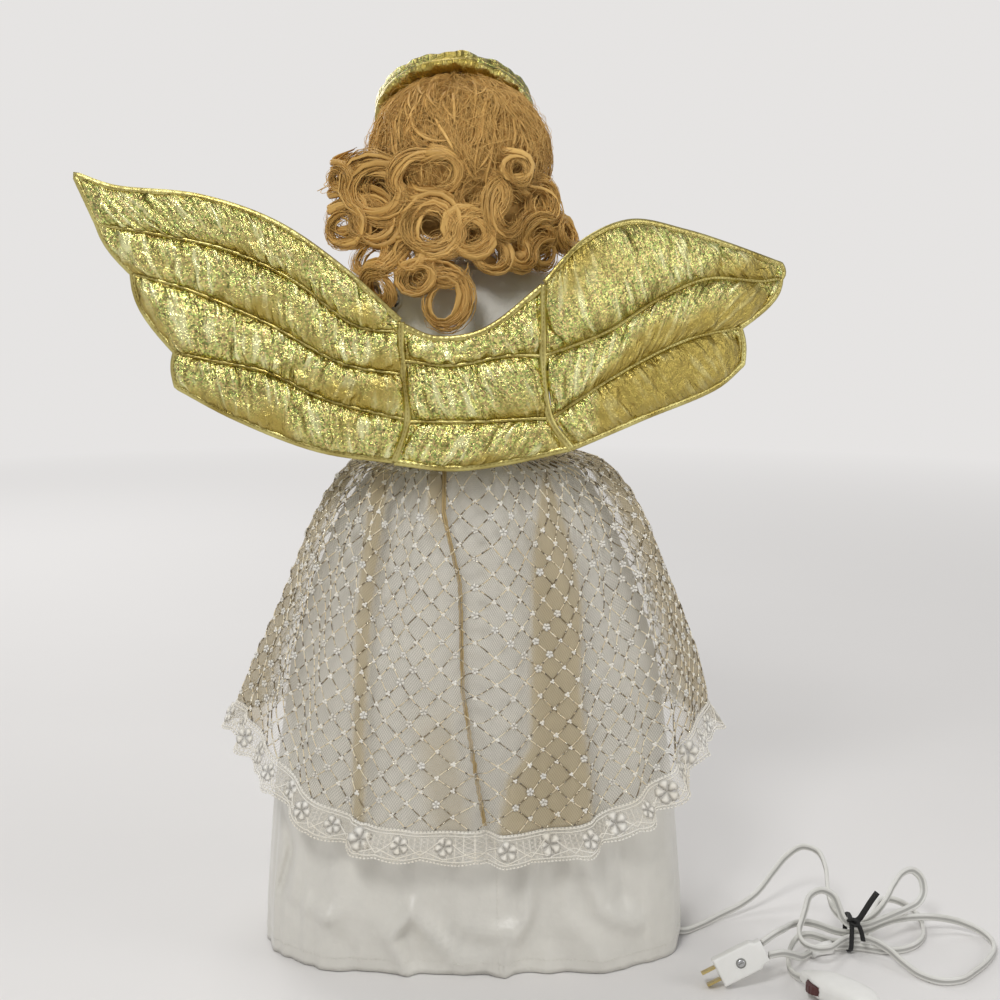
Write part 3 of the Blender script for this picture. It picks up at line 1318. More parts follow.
# Hair ends in front of the wings
HAIR_REAR = 74.5
# Curls: middle, outer radius, width, turns, axis, sense, strands
CURLS = [
    ((86, 33, 494), 16, 6, 1.3, (0.6, 0.8, 0.1), 1, 150),
    ((84, 31, 503), 20, 4, 0.9, (0.5, 0.85, 0.1), 1, 34),
    ((88, 27, 526), 10, 9, 1.3, (0.7, 0.7, -0.3), 1, 110),
    ((60, 40, 517), 24, 12, 1.15, (0.35, 0.95, 0.15), -1, 330),
    ((66, 40, 497), 17, 12, 1.1, (0.3, 0.9, 0.3), 1, 200),
    ((40, 48, 526), 16, 9, 0.6, (0.1, 1, -0.2), -1, 170),
    ((22, 52, 528), 14, 9, 0.6, (0.1, 1, -0.2), 1, 150),
    ((28, 54, 495), 20, 13, 1.25, (0.1, 1, 0.1), 1, 330),
    ((2.2, 56, 491.6), 15.5, 9, 1.4, (-0.1, 1, 0.05), -1, 230),
    ((-2, 51, 513), 20, 11, 1.0, (-0.1, 1, 0.15), 1, 260),
    ((-26, 46, 532), 10, 10, 1.4, (-0.35, 0.9, 0.1), 1, 150),
    ((-20, 47, 503), 19, 12, 0.8, (-0.5, 0.8, 0.1), -1, 240),
    ((-42, 28, 508), 16, 14, 1.0, (-0.7, 0.8, 0.2), 1, 210),
    ((-40, 32, 489), 15, 14, 1.1, (-0.6, 0.8, -0.3), -1, 230),
    ((-57, 14, 489), 14, 14, 1.2, (-0.9, 0.4, 0.3), 1, 180),
    ((-46, -12, 499), 15, 16, 1.4, (-0.9, -0.4, 0.1), 1, 170),
    ((-40, -34, 503), 12, 13, 1.4, (-0.7, -0.7, 0.1), -1, 130),
    ((76, 4, 504), 17, 16, 1.4, (0.95, 0.2, 0.1), 1, 180),
    ((66, -18, 502), 15, 15, 1.4, (0.85, -0.5, 0.1), -1, 160),
    ((57, -36, 505), 12, 12, 1.4, (0.7, -0.7, 0.1), 1, 130),
]
LOW_CURLS = [
    ((20, 60, 447), 19, 6, 1.15, (0.05, 1, 0.05), 1, 80),
    ((36, 57, 463), 12, 10, 1.3, (0.15, 1, 0.1), -1, 170),
    ((42, 54, 477), 11, 10, 1.2, (0.2, 1, 0.1), 1, 150),
    ((66, 46, 474), 14, 12, 1.1, (0.5, 0.8, 0.4), 1, 170),
    ((63, 52, 457), 14, 12, 1.2, (0.4, 0.9, -0.4), -1, 170),
    ((14, 56, 470), 17, 10, 0.8, (0.0, 1, 0.2), -1, 190),
    ((-8, 52, 476), 13, 11, 1.0, (-0.2, 0.95, 0.2), 1, 160),
    ((-26, 44, 478), 14, 13, 1.0, (-0.4, 0.9, 0.3), 1, 170),
    ((-44, 30, 477), 12, 13, 1.1, (-0.7, 0.7, -0.2), -1, 140),
]


def strands_piece(name, paths, wide, shade, thick=None, sides=3):
    """Strands, or flat locks with more sides, along many paths, with a shade for each point."""
    paths = np.asarray(paths, float)
    count, steps = paths.shape[:2]
    tangent = np.gradient(paths, axis=1)
    tangent /= np.linalg.norm(tangent, axis=2)[..., None] + TINY
    side = np.cross(tangent, paths - HAIR_CENTRE)
    side /= np.linalg.norm(side, axis=2)[..., None] + TINY
    other = np.cross(tangent, side)
    t = np.linspace(0, 1, steps)
    taper = np.minimum(1, np.minimum(t / 0.12 + 0.2, (1 - t) / 0.25 + 0.15))
    wide = np.reshape(wide, (-1, 1, 1)) * taper[None, :, None]
    thick = wide if thick is None else np.reshape(thick, (-1, 1, 1)) * taper[None, :, None]
    turns = np.arange(sides) * 2 * np.pi / sides
    corners = [paths + wide * math.cos(a) * side + thick * math.sin(a) * other for a in turns]
    points = np.stack(corners, 2).reshape(-1, 3)
    base = (np.arange(count)[:, None] * steps + np.arange(steps - 1)[None]) * sides
    first = np.arange(count) * steps * sides
    last = first + (steps - 1) * sides
    faces = []
    for k in range(sides):
        n = (k + 1) % sides
        a, b, c, d = base + k, base + n, base + n + sides, base + k + sides
        faces += [np.stack([a, b, c], -1).reshape(-1, 3), np.stack([a, c, d], -1).reshape(-1, 3)]
    for k in range(1, sides - 1):
        faces += [
            np.stack([first + k + 1, first + k, first], -1), np.stack([last, last + k, last + k + 1], -1)
        ]
    faces = np.concatenate(faces)
    mesh = bpy.data.meshes.new(name)
    mesh.vertices.add(len(points))
    mesh.vertices.foreach_set("co", (points * MM).astype(np.float32).ravel())
    mesh.loops.add(len(faces) * 3)
    mesh.loops.foreach_set("vertex_index", faces.astype(np.int32).ravel())
    mesh.polygons.add(len(faces))
    mesh.polygons.foreach_set("loop_start", np.arange(0, len(faces) * 3, 3, dtype=np.int32))
    mesh.update(calc_edges=True)
    smooth_faces(mesh)
    shades = np.asarray(shade, float)[..., None]
    if sides > 3:
        shades = shades + np.random.default_rng(count).normal(0, 0.16, (count, 1, sides))
    keep_values(mesh, "shade", np.clip(np.broadcast_to(shades, (count, steps, sides)), 0, 1).ravel())
    return new_object(name, mesh, "hair_strands")


def clear_face(points):
    """Pushes hair out of the hollow that the face looks out of, and back from the throat."""
    inside = np.linalg.norm((points - FACE_HOLLOW) / FACE_HOLLOW_RADII, axis=-1)[..., None]
    pushed = FACE_HOLLOW + (points - FACE_HOLLOW) / np.maximum(inside, 0.05)
    points = np.where(inside < 1, pushed, points)
    x, y, z = points[..., 0], points[..., 1], points[..., 2]
    throat = smoothstep((37 - np.abs(x - 5)) / 9) * smoothstep((507 - z) / 14)
    return np.stack([x, y + throat * np.maximum(0, THROAT_Y - y), z], -1)


def crown_point(way, polar, ratio):
    """A point on the crown: way from the rear round to the left, polar from the top down."""
    lean = np.stack([np.sin(way) * np.sin(polar), np.cos(way) * np.sin(polar), np.cos(polar)], -1)
    return HAIR_CENTRE + lean * HAIR_RADII * np.asarray(ratio)[..., None]


def flow_paths(start, polar, length, bias, random):
    """Strands that follow a swirling field over the crown, each a little off its neighbours."""
    steps = 11
    own = random.normal(0, 0.16, len(start))
    turn = random.normal(0, 0.5, len(start))
    height = random.uniform(-0.035, 0.03, len(start))
    way, down = start.copy(), polar.copy()
    ways, downs, ratios = [], [], []
    for k in range(steps):
        s = k / (steps - 1)
        lean = 0.3 * np.sin(2.3 * way + 1.9 * down + 0.6) + 0.2 * np.sin(5.1 * way - 3.4 * down + 1.0)
        lean = lean + 0.15 * np.sin(11 * way + 7 * down) + own + turn * s + bias
        ways.append(way)
        downs.append(down)
        waves = 0.012 * np.sin(9 * way + 6 * down) + 0.01 * np.sin(23 * down + 15 * way)
        ratios.append(1 + height + waves - 0.03 * (1 - s) ** 2)
        down = down + length / (steps - 1) * np.cos(lean)
        way = way + length / (steps - 1) * np.sin(lean) / np.maximum(0.3, np.sin(down))
    return crown_point(np.stack(ways, 1), np.stack(downs, 1), np.stack(ratios, 1))


def crown_paths(count, random, least=-0.35):
    """Strands that cover the crown, and the fringe that is swept off the face."""
    start = random.uniform(-np.pi, np.pi, count)
    fringe = np.abs(start) > 2.4
    polar = np.where(fringe, random.uniform(least, 0.8, count), random.uniform(least, 1.3, count))
    length = np.where(
        fringe, (1.36 - polar) * random.uniform(0.75, 1, count), random.uniform(0.45, 0.85, count)
    )
    return clear_face(flow_paths(start, polar, length, np.where(fringe, 0, -0.12), random))


def frizz_paths(count, random):
    """Short bent hairs between the curls and over the crown."""
    start = random.uniform(-2.2, 2.4, count)
    polar = random.uniform(0.3, 2.15, count)
    s = np.linspace(0, 1, 8)[None]
    turn = random.uniform(-4, 4, (count, 1)) * s + random.uniform(0, 6.28, (count, 1))
    reach = random.uniform(0.08, 0.22, (count, 1))
    way = start[:, None] + reach * (np.cos(turn) * 0.7 + s)
    ratio = random.uniform(0.93, 1.045, (count, 1)) + 0.01 * np.sin(s * 6)
    return crown_point(way, polar[:, None] + reach * (np.sin(turn) + 0.4 * s), ratio)


def curl_paths(spec, count, random, frizz):
    """One lock: it comes out from under the hair above and winds round the curl's middle."""
    middle, radius, width, turns, axis, sense, _ = spec
    middle, axis = np.array(middle, float), np.array(axis, float)
    axis /= np.linalg.norm(axis)
    up = np.array([0, 0, 1.0]) - axis * axis[2]
    up /= np.linalg.norm(up)
    across = np.cross(axis, up)
    t = np.linspace(0, 1, 15)[None]
    ribbon = random.uniform(-1, 1, (count, 1))
    layer = np.where(
        random.random((count, 1)) < frizz * 2,
        random.uniform(0, 1, (count, 1)),
        random.uniform(0, 0.6, (count, 1)),
    )
    length = random.uniform(0.6, 1, (count, 1))
    begin = np.pi / 2 - sense * 0.5 + random.normal(0, 0.22, (count, 1)) + sense * 0.4 * layer
    spin = begin + sense * 2 * np.pi * turns * length * t
    loose = 1 + 0.05 * np.sin(spin * 2 + layer * 6) + random.normal(0, 0.05, (count, 1))
    shape = random.uniform(0, 6.28, 2)
    wide = 1 + 0.13 * np.cos(spin * 2 + shape[0]) + 0.12 * np.cos(spin + shape[1])
    r = radius * (1.02 - 0.66 * layer) * (1.2 - 0.52 * t**0.8 * length) * loose * wide
    along = width * (0.5 * ribbon * (1 - 0.3 * t) + 0.35 * (t - 0.5))
    knock = np.sin(t[..., None] * random.uniform(3, 9, (count, 1, 3)) + random.uniform(0, 6, (count, 1, 3)))
    wander = (random.exponential(frizz * 5, (count, 1, 1)) + 0.1) * knock * (0.4 + t[..., None])
    curl = middle + r[..., None] * (np.cos(spin)[..., None] * across + np.sin(spin)[..., None] * up)
    curl = curl + along[..., None] * axis + wander
    way = curl[:, 0] - curl[:, 1]
    way /= np.linalg.norm(way, axis=1)[:, None]
    reach = radius * random.uniform(0.7, 1.2, (count, 1))
    near = curl[:, 0] + way * reach * 0.6
    far = near + way * reach * 0.3 + up * reach * 0.6 - axis * (7 + reach * 0.3)
    far += (HAIR_CENTRE - far) * 0.16
    s = np.linspace(0, 1, 6)[None, :-1, None]
    lead = far[:, None] * (1 - s) ** 2 + near[:, None] * 2 * s * (1 - s) + curl[:, :1] * s**2
    return np.concatenate([lead, curl], axis=1)


def wisp_paths(count, random):
    """Fine stray hairs that stand off the outline in open arcs."""
    start = random.uniform(-2.4, 2.4, count)
    polar = random.uniform(0.5, 1.9, count)
    s = np.linspace(0, 1, 16)[None]
    bend = random.normal(0, 0.25, (count, 1)) * s + random.normal(0, 0.12, (count, 1)) * np.sin(s * 9)
    rise = random.uniform(0.01, 0.09, (count, 1)) * np.sin(np.pi * s) + 0.01
    return crown_point(
        start[:, None] + bend, polar[:, None] + s * random.uniform(0.2, 0.6, (count, 1)), 1 + rise
    )


def strand_shade(paths, random, base):
    """A shade for each point: its own for each strand, and darker at the root."""
    count, steps = paths.shape[:2]
    own = random.normal(base, 0.2, (count, 1))
    t = np.linspace(0, 1, steps)[None]
    wave = 0.1 * np.sin(t * random.uniform(5, 16, (count, 1)) + random.uniform(0, 6, (count, 1)))
    return np.clip(own + wave - 0.2 * np.exp(-t / 0.06), 0, 1)


def locks(name, specs, random, share):
    """Several curls in one object: broad flat locks below, and fine strands over them."""
    made = []
    for flat in (True, False):
        paths, shades = [], []
        for spec in specs:
            count = max(6, int(spec[6] * (0.085 if flat else share * 0.8)))
            path = curl_paths(spec, count, random, 0.02 if flat else 0.13)
            path[..., 1] = np.minimum(path[..., 1], HAIR_REAR)
            paths.append(path)
            shades.append(strand_shade(path, random, (0.36 if flat else 0.52) + random.normal(0, 0.07)))
        paths, shades = np.concatenate(paths), np.concatenate(shades)
        if flat:
            wide = random.uniform(1.0, 2.2, len(paths))
            made.append(strands_piece(name + "_flat", paths, wide, shades, 0.3 + wide * 0.1, 6))
        else:
            made.append(strands_piece(name, paths, random.uniform(0.17, 0.33, len(paths)), shades))
    return merge_pieces(name, made)


def hair_base(name, lumps, floor=None, carve=True):
    """A dark mass under the strands, from overlapping lumps."""
    pieces = []
    for i, (centre, radii) in enumerate(lumps):
        stretch = Matrix.Translation(Vector(centre) * MM) @ Matrix.Diagonal((*(Vector(radii) * MM), 1))
        pieces.append(ball(f"{name}_{i}", "hair_mass", 4, 1, stretch))
    piece = merge_pieces(name, pieces)
    change(piece, "REMESH", mode="VOXEL", voxel_size=0.0022)
    settle(piece)
    shape = read_points(piece)
    if carve:
        shape = clear_face(shape)
    if floor is not None:
        shape[:, 2] = np.maximum(shape[:, 2], floor + 0.4 * np.sin(shape[:, 0] * 0.9))
    ripple = np.sin(shape[:, 0] * 0.9 + np.sin(shape[:, 2] * 0.4) * 2) * 0.5
    away = shape - np.array(lumps[0][0], float)
    away /= np.linalg.norm(away, axis=1)[:, None] + TINY
    write_points(piece, shape + away * ripple[:, None])
    keep_values(piece.data, "shade", np.random.default_rng(5).uniform(0.1, 0.8, len(shape)))
    smooth_faces(piece.data)
    return piece


# Lumps of the dark mass under the strands: middle and radii
WIG_LUMPS = [
    (HAIR_CENTRE, HAIR_RADII - 4), ((54, 22, 510), (15, 10, 15)), ((28, 33, 502), (16, 8, 14)),
    ((2, 35, 502), (15, 8, 14)), ((-20, 28, 503), (13, 9, 14)), ((-36, 6, 505), (9, 15, 13)),
    ((52, 0, 509), (13, 19, 16)),
]
BACK_LUMPS = [
    ((62, 42, 466), (6, 4, 6)), ((40, 47, 467), (8, 4, 8)), ((18, 47, 467), (8, 4, 7)),
    ((-6, 45, 473), (8, 4, 5)),
    ((-30, 40, 476), (8, 4, 4)),
]


def make_hair(sizes):
    random = np.random.default_rng(20)
    share = 1.0
    mass = hair_base("wig_mass", WIG_LUMPS, floor=483.0)
    crown = crown_paths(int(sizes.crown_strands * share), random)
    over = crown_paths(int(sizes.crown_strands * 0.7 * share), random)
    flat = crown_paths(int(330 * share), random, 0.2)
    frizz = frizz_paths(int(1500 * share), random)
    wisps = wisp_paths(int(320 * share), random)
    wide = random.uniform(0.5, 1.2, len(flat))

    def strands(name, paths, thin, broad, shade):
        """Strands of a chance width between two."""
        widths = random.uniform(thin, broad, len(paths))
        return strands_piece(name, paths, widths, strand_shade(paths, random, shade))

    pieces = [
        mass,
        strands("crown_strands", crown, 0.17, 0.33, 0.55),
        strands("crown_strands_over", over, 0.14, 0.28, 0.6),
        strands_piece("crown_locks", flat, wide, strand_shade(flat, random, 0.42), 0.3 + wide * 0.1, 6),
        strands("frizz_strands", frizz, 0.12, 0.24, 0.5),
        strands("stray_hairs", wisps, 0.09, 0.15, 0.85),
    ]
    for letter, group in zip("abcd", (CURLS[:5], CURLS[5:9], CURLS[9:14], CURLS[14:])):
        pieces.append(locks(f"ringlets_{letter}", group, random, share))
    for piece in pieces:
        ride(piece, "head")
    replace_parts(pieces[0], "wig")

    low = locks("ringlets_low", LOW_CURLS, random, share * 0.6)
    back = hair_base("back_hair_mass", BACK_LUMPS, carve=False)
    for piece in (low, back):
        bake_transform(piece)
    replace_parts(back, "back_ringlets")


# Gown and lace

WAIST_Z, HEM_Z, LACE_TOP_Z = 346, 0.6, 345
# Height, half width and half depth, from the waist down
GOWN = np.array([
    (346, 45.6, 36.6), (330, 70, 52), (300, 92, 60), (250, 112, 70), (200, 126, 77), (112, 138, 85),
    (33, 145, 90), (0, 146, 91),
])
OVERSKIRT = np.array([
    (345, 49.2, 39.6), (335, 86, 63), (314, 104, 71), (291, 118, 78), (263, 130, 84), (232, 141, 88),
    (204, 151, 92),
    (175, 158, 95), (100, 164, 99), (60, 166, 100),
])
# Where round the hem the lead comes out
CORD_GATE = math.pi - 0.19
# How far the left half of the overskirt is drawn in
DRAW_IN = 10
# Heights of the sheets when they lie flat, in metres
SKIRT_HEIGHT, LACE_HEIGHT, TRIM_HEIGHT, BODICE_HEIGHT, SLEEVE_HEIGHT = 0.36, 0.28, 0.021, 0.12, 0.13
LATTICE_ROWS = 27
# Scallops of the trim, and how far it reaches below the net
TRIM_BANDS, TRIM_REACH = 44, 19.5


def profile(table, z):
    """Half width and half depth at a height."""
    return np.interp(z, table[::-1, 0], table[::-1, 1]), np.interp(z, table[::-1, 0], table[::-1, 2])


def oval_points(t, a, b, z, squareness, grow=0.0):
    """Points round an oval that is squarer the higher its squareness."""
    x = (a + grow) * power(np.cos(t), 2 / squareness)
    y = (b + grow) * power(np.sin(t), 2 / squareness)
    return np.stack([x, y, z + 0 * x], -1)


def ridge(x, centre, width):
    """A rounded ridge, 1 high at its centre."""
    return np.exp(-(((x - centre) / width) ** 2))


# Folds of the gown's lower part, seen from the rear: a line of places, width and depth
DRAPES = [
    (((134, 112), (125, 76), (133, 46)), 3.0, -4.5),
    (((124, 112), (116, 78), (124, 48), (100, 40)), 6.0, 3.6),
    (((100, 40), (78, 50), (62, 34)), 9.0, 2.2), (((100, 78), (70, 82), (52, 66)), 13.0, -2.6),
    (((45, 2), (57, 26), (42, 48), (30, 30), (4, 6)), 5.0, 4.2), (((44, 26), (40, 10)), 9.0, -3.4),
    (((26, 60), (18, 36), (8, 20)), 7.0, -2.4), (((4, 36), (-2, 28), (-22, 34)), 6.0, 3.0),
    (((-44, 84), (-36, 66), (-34, 42), (-22, 22), (-19, 0)), 4.5, 4.6),
    (((-56, 84), (-48, 44), (-36, 6)), 9.0, -3.0),
    (((-68, 84), (-84, 46), (-108, 30)), 6.0, 3.4), (((-70, 34), (-84, 10)), 8.0, 2.2),
    (((-96, 84), (-100, 50)), 7.0, -2.8),
    (((88, 20), (80, 2)), 8.0, -2.0), (((-56, 20), (-60, 2)), 9.0, -2.2),
]


def near_line(x, z, line, width):
    """How near places are to a line, from 0 to 1."""
    best = np.full(np.shape(x), 1e9)
    for (x0, z0), (x1, z1) in zip(line[:-1], line[1:]):
        length = (x1 - x0) ** 2 + (z1 - z0) ** 2
        part = np.clip(((x - x0) * (x1 - x0) + (z - z0) * (z1 - z0)) / length, 0, 1)
        best = np.minimum(best, np.hypot(x - x0 - part * (x1 - x0), z - z0 - part * (z1 - z0)))
    return np.exp(-((best / width) ** 2))


def gown_surface(t, share, grow=0.0):
    """Satin gown: round param t, share from waist to hem."""
    gate = 11 * ridge(t, CORD_GATE, 0.15)
    z = WAIST_Z + (HEM_Z + gate - WAIST_Z) * share
    a, b = profile(GOWN, z)
    waves = 2.8 * np.sin(7 * t + 0.6) + 2.0 * np.sin(12 * t + 2) + 0.9 * np.sin(19 * t)
    folds = share * (1 - 0.55 * share) * waves
    folds = folds * (1 - ridge(t, CORD_GATE, 0.3))
    base = oval_points(t, a, b, z, 2.5 + 0.7 * share, folds + grow)
    x = base[..., 0]
    rear = smoothstep(np.sin(t) * 3)
    low = smoothstep((share - 0.45) * 2)
    creases = 1.3 * ridge(x, seam_line(z) - 2, 5) - 1.8 * ridge(x, seam_line(z), 1.5)
    for line, width, depth in DRAPES:
        creases = creases + 1.5 * depth * near_line(x, z, line, width)
    ripple = 0.5 * np.sin(31 * t + 9 * share) + 0.3 * np.sin(47 * t - 12 * share)
    base[..., 1] += (creases * rear + ripple) * low
    base[..., 0] += ripple * low * 0.6
    gathers = 1.6 * np.sin(46 * t) * ridge(share, 0.0, 0.16) * smoothstep(share * 12)
    out = np.stack([np.cos(t), np.sin(t), 0 * t * share], -1)
    return base + out * gathers[..., None]


def hem_height(t):
    """Height of the trim's lower edge round the skirt: low at the rear, higher at the sides."""
    side = np.abs(np.cos(t))
    rear = 84 + 66 * side**2.2
    return np.where(np.sin(t) > 0, rear, 150 - 8 * np.abs(np.sin(t)))


def seam_line(z):
    """Place of the rear seam in X at a height."""
    return np.interp(z, [101, 140, 194, 265, 311, 342], [-8, -1.3, 7.2, 9.1, 19.6, 19.2])


def doubled_lace(x, y, z):
    """Where the lace lies double: two broad pleats, beside the rear seam and round the sides, from 0 to 1."""
    first = np.interp(z, [161, 244, 343], [76.3, 72.8, 61.5])
    half = np.interp(z, [161, 343], [4.2, 6.5])
    pleat = smoothstep((half + 2 - np.abs(x - first)) / 4)
    left = np.interp(z, [104, 140, 160, 290, 344], [-12, -18, -33, -34.8, -42.9])
    right = np.interp(z, [135, 198, 254, 286, 326, 351], [-80, -72, -73.3, -67.8, -54.6, -47.3])
    wide = smoothstep((left - x) / 5) * smoothstep((x - right) / 6)
    seam = seam_line(z)
    gather = smoothstep((x - seam) / 2) * smoothstep((seam + 13 - x) / 3) * smoothstep((z - 290) / 30)
    lower = 0.55 * smoothstep((x - seam - 8) / 6) * smoothstep((seam + 44 - x) / 16)
    lower = lower * smoothstep((205 - z) / 50)
    a, _ = profile(OVERSKIRT, z)
    side = 0.8 * smoothstep((np.abs(x) / a - 0.84) / 0.1)
    rear = smoothstep(y / 12 + 0.5)
    return np.maximum(np.maximum(pleat, np.maximum(wide, gather)) * rear, np.maximum(side, lower * rear))


def overskirt_surface(t, share, grow=0.0):
    """Lace overskirt: gathered at the waist, with folds and two pleats that run to the hem."""
    z = LACE_TOP_Z + (hem_height(t) + TRIM_REACH - LACE_TOP_Z) * share
    a, b = profile(OVERSKIRT, z)
    waves = share * (2 * np.sin(6 * t + 1) + 1.4 * np.sin(11 * t))
    folds = 1.1 * np.sin(16 * t) * np.minimum(1, share * 6) + waves
    base = oval_points(t, a, b, z, 2.5, folds + grow)
    base[..., 0] -= np.maximum(0, np.cos(t)) * DRAW_IN * np.sin(np.pi * np.clip(share, 0, 1)) ** 0.8
    gather = 3.4 * np.sin(34 * t + 2 * np.sin(5 * t)) * ridge(share, 0.1, 0.34) * smoothstep(share * 9)
    soft = 3.4 * np.sin(21 * t + 1.5 * np.sin(3 * t)) * smoothstep(share * 1.4)
    soft = soft * (0.5 + 0.5 * np.sin(4 * t + 1) ** 2)
    x = base[..., 0]
    rear = smoothstep(np.sin(t) * 3)
    seam = seam_line(z)
    deep = 3.4 * ridge(x, 96, 12) - 2.6 * ridge(x, 50, 9) + 2.6 * ridge(x, 34, 10)
    deep = deep - 5.6 * ridge(x, seam, 3.2) + 1.8 * ridge(x, seam - 8, 5)
    deep = deep + 3.6 * doubled_lace(x, base[..., 1] + 50, z) * (np.abs(x) < 84)
    deep = deep - 2.8 * ridge(x, -90, 8) + 2.8 * ridge(x, -106, 9)
    out = np.stack([np.cos(t), np.sin(t), 0 * t * share], -1)
    return base + out * (gather + soft + deep * rear * smoothstep(share * 3))[..., None]


def closed_ring(points):
    """A grid with its first column once more at its end."""
    return np.concatenate([points, points[:, :1]], axis=1)


def surface_uv(points):
    """A map in metres: distance round a middle row, and distance down each column."""
    rows, cols = points.shape[:2]
    ring = closed_ring(points)
    round_way = np.linalg.norm(np.diff(ring, axis=1), axis=2)
    along = np.concatenate([np.zeros(1), np.cumsum(round_way[int(rows * 0.75)])])
    falls = np.linalg.norm(np.diff(points, axis=0), axis=2)
    down = np.concatenate([np.zeros((1, cols)), np.cumsum(falls, axis=0)])
    down = closed_ring(down)
    return np.stack([np.broadcast_to(along[None], down.shape), down], -1) * MM


def flat_size(points, height):
    """Width and height in metres of a sheet that lies flat, from the area of its surface."""
    ring = closed_ring(points)
    u = ring[1:, :-1] - ring[:-1, :-1]
    v = ring[:-1, 1:] - ring[:-1, :-1]
    area = float(np.linalg.norm(np.cross(u, v), axis=2).sum()) * 1e-6
    return round(area / height, 3), height


def skirt_grid(surface, count, shares):
    """Points of a surface all round at shares of its height."""
    t, s = np.meshgrid(full_turn(count), shares)
    return surface(t, s)


def surface_normals(surface, t, s):
    """Directions square to a surface that point away from the figure's axis."""
    e = 1e-3
    du = surface(t + e, s) - surface(t - e, s)
    dv = surface(t, s + e) - surface(t, np.maximum(s - e, 0))
    n = np.cross(du, dv)
    n /= np.linalg.norm(n, axis=-1)[..., None] + TINY
    centre = surface(t, s) * np.array([1, 1, 0])
    flip = np.sign(np.einsum("...k,...k->...", n, centre))[..., None]
    return n * flip


def make_gown():
    count = 350
    shares = np.concatenate([np.linspace(0, 0.15, 18), np.linspace(0.17, 1, 82)])
    grid = skirt_grid(gown_surface, count, shares)
    piece = grid_piece(
        "satin_skirt", grid, "ivory_satin", wrap=True, uv=surface_uv(grid), outward=(0, 0, 150)
    )
    thicken(piece, 0.8)
    ride(piece, "figure")
    t = np.linspace(0, 2 * np.pi, 500)
    hem = [gown_surface(t, np.full_like(t, 1 - 9 / WAIST_Z), 0.35)]
    s = np.linspace(0.1, 0.99, 150)
    side = [gown_surface(np.full_like(s, math.pi / 2 + 0.03), s, 0.3)]
    sewn = stitches("skirt_stitches", hem + side, "ivory_satin", 3.0, 2.0, 0.22)
    ride(sewn, "figure")
    piping = make_piping()
    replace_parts(piece, "satin_gown")


def make_piping():
    """Satin piping over the join of bodice and skirts."""
    turn, around = np.meshgrid(np.linspace(0, 2 * np.pi, 181), full_turn(12), indexing="ij")
    ring = oval_points(turn, 47.2, 38.2, 347.2, 2.4, 2.4 * np.cos(around) + 0.3 * np.sin(turn * 61))
    ring[..., 2] += 3.6 * np.sin(around)
    piping = mend(grid_piece("waist_piping", ring, "ivory_satin", wrap=True), 1e-6)
    ride(piping, "figure")
    return piping


def flower_motif():
    """Five rounded petals round a dot, a millimetre and a half in radius."""
    points, faces = [], []
    outline = ((0.05, 0), (0.6, 0.4), (1.1, 0.68), (1.5, 0.36), (1.5, -0.36), (1.1, -0.68), (0.6, -0.4))
    for k in range(5):
        a = 2 * math.pi * k / 5
        way, side = np.array([math.cos(a), math.sin(a)]), np.array([-math.sin(a), math.cos(a)])
        start = len(points)
        for along, across, high in [(x, y, 0.05) for x, y in outline] + [(1.0, 0, 0.12), (1.0, 0, -0.02)]:
            p = way * along + side * across
            points.append((p[0], p[1], high))
        for i in range(7):
            j = (i + 1) % 7
            faces.append((start + i, start + j, start + 7))
            faces.append((start + j, start + i, start + 8))
    return mend(mesh_piece("flower_motif", points, faces, "lace_motif"))


def bead_motif(name, radii, lobes=0):
    """A rounded bead, or several side by side round a middle."""
    mesh = bpy.data.meshes.new(name)
    shape = bmesh.new()
    for k in range(max(1, lobes)):
        a = 2 * math.pi * k / max(1, lobes)
        shift = Vector((math.cos(a), math.sin(a), 0)) * (0.9 if lobes else 0)
        bmesh.ops.create_icosphere(shape, subdivisions=1, radius=1, matrix=Matrix.Translation(shift))
    shape.to_mesh(mesh)
    shape.free()
    mesh.transform(Matrix.Diagonal((*(Vector(radii) * MM), 1)))
    return new_object(name, mesh)


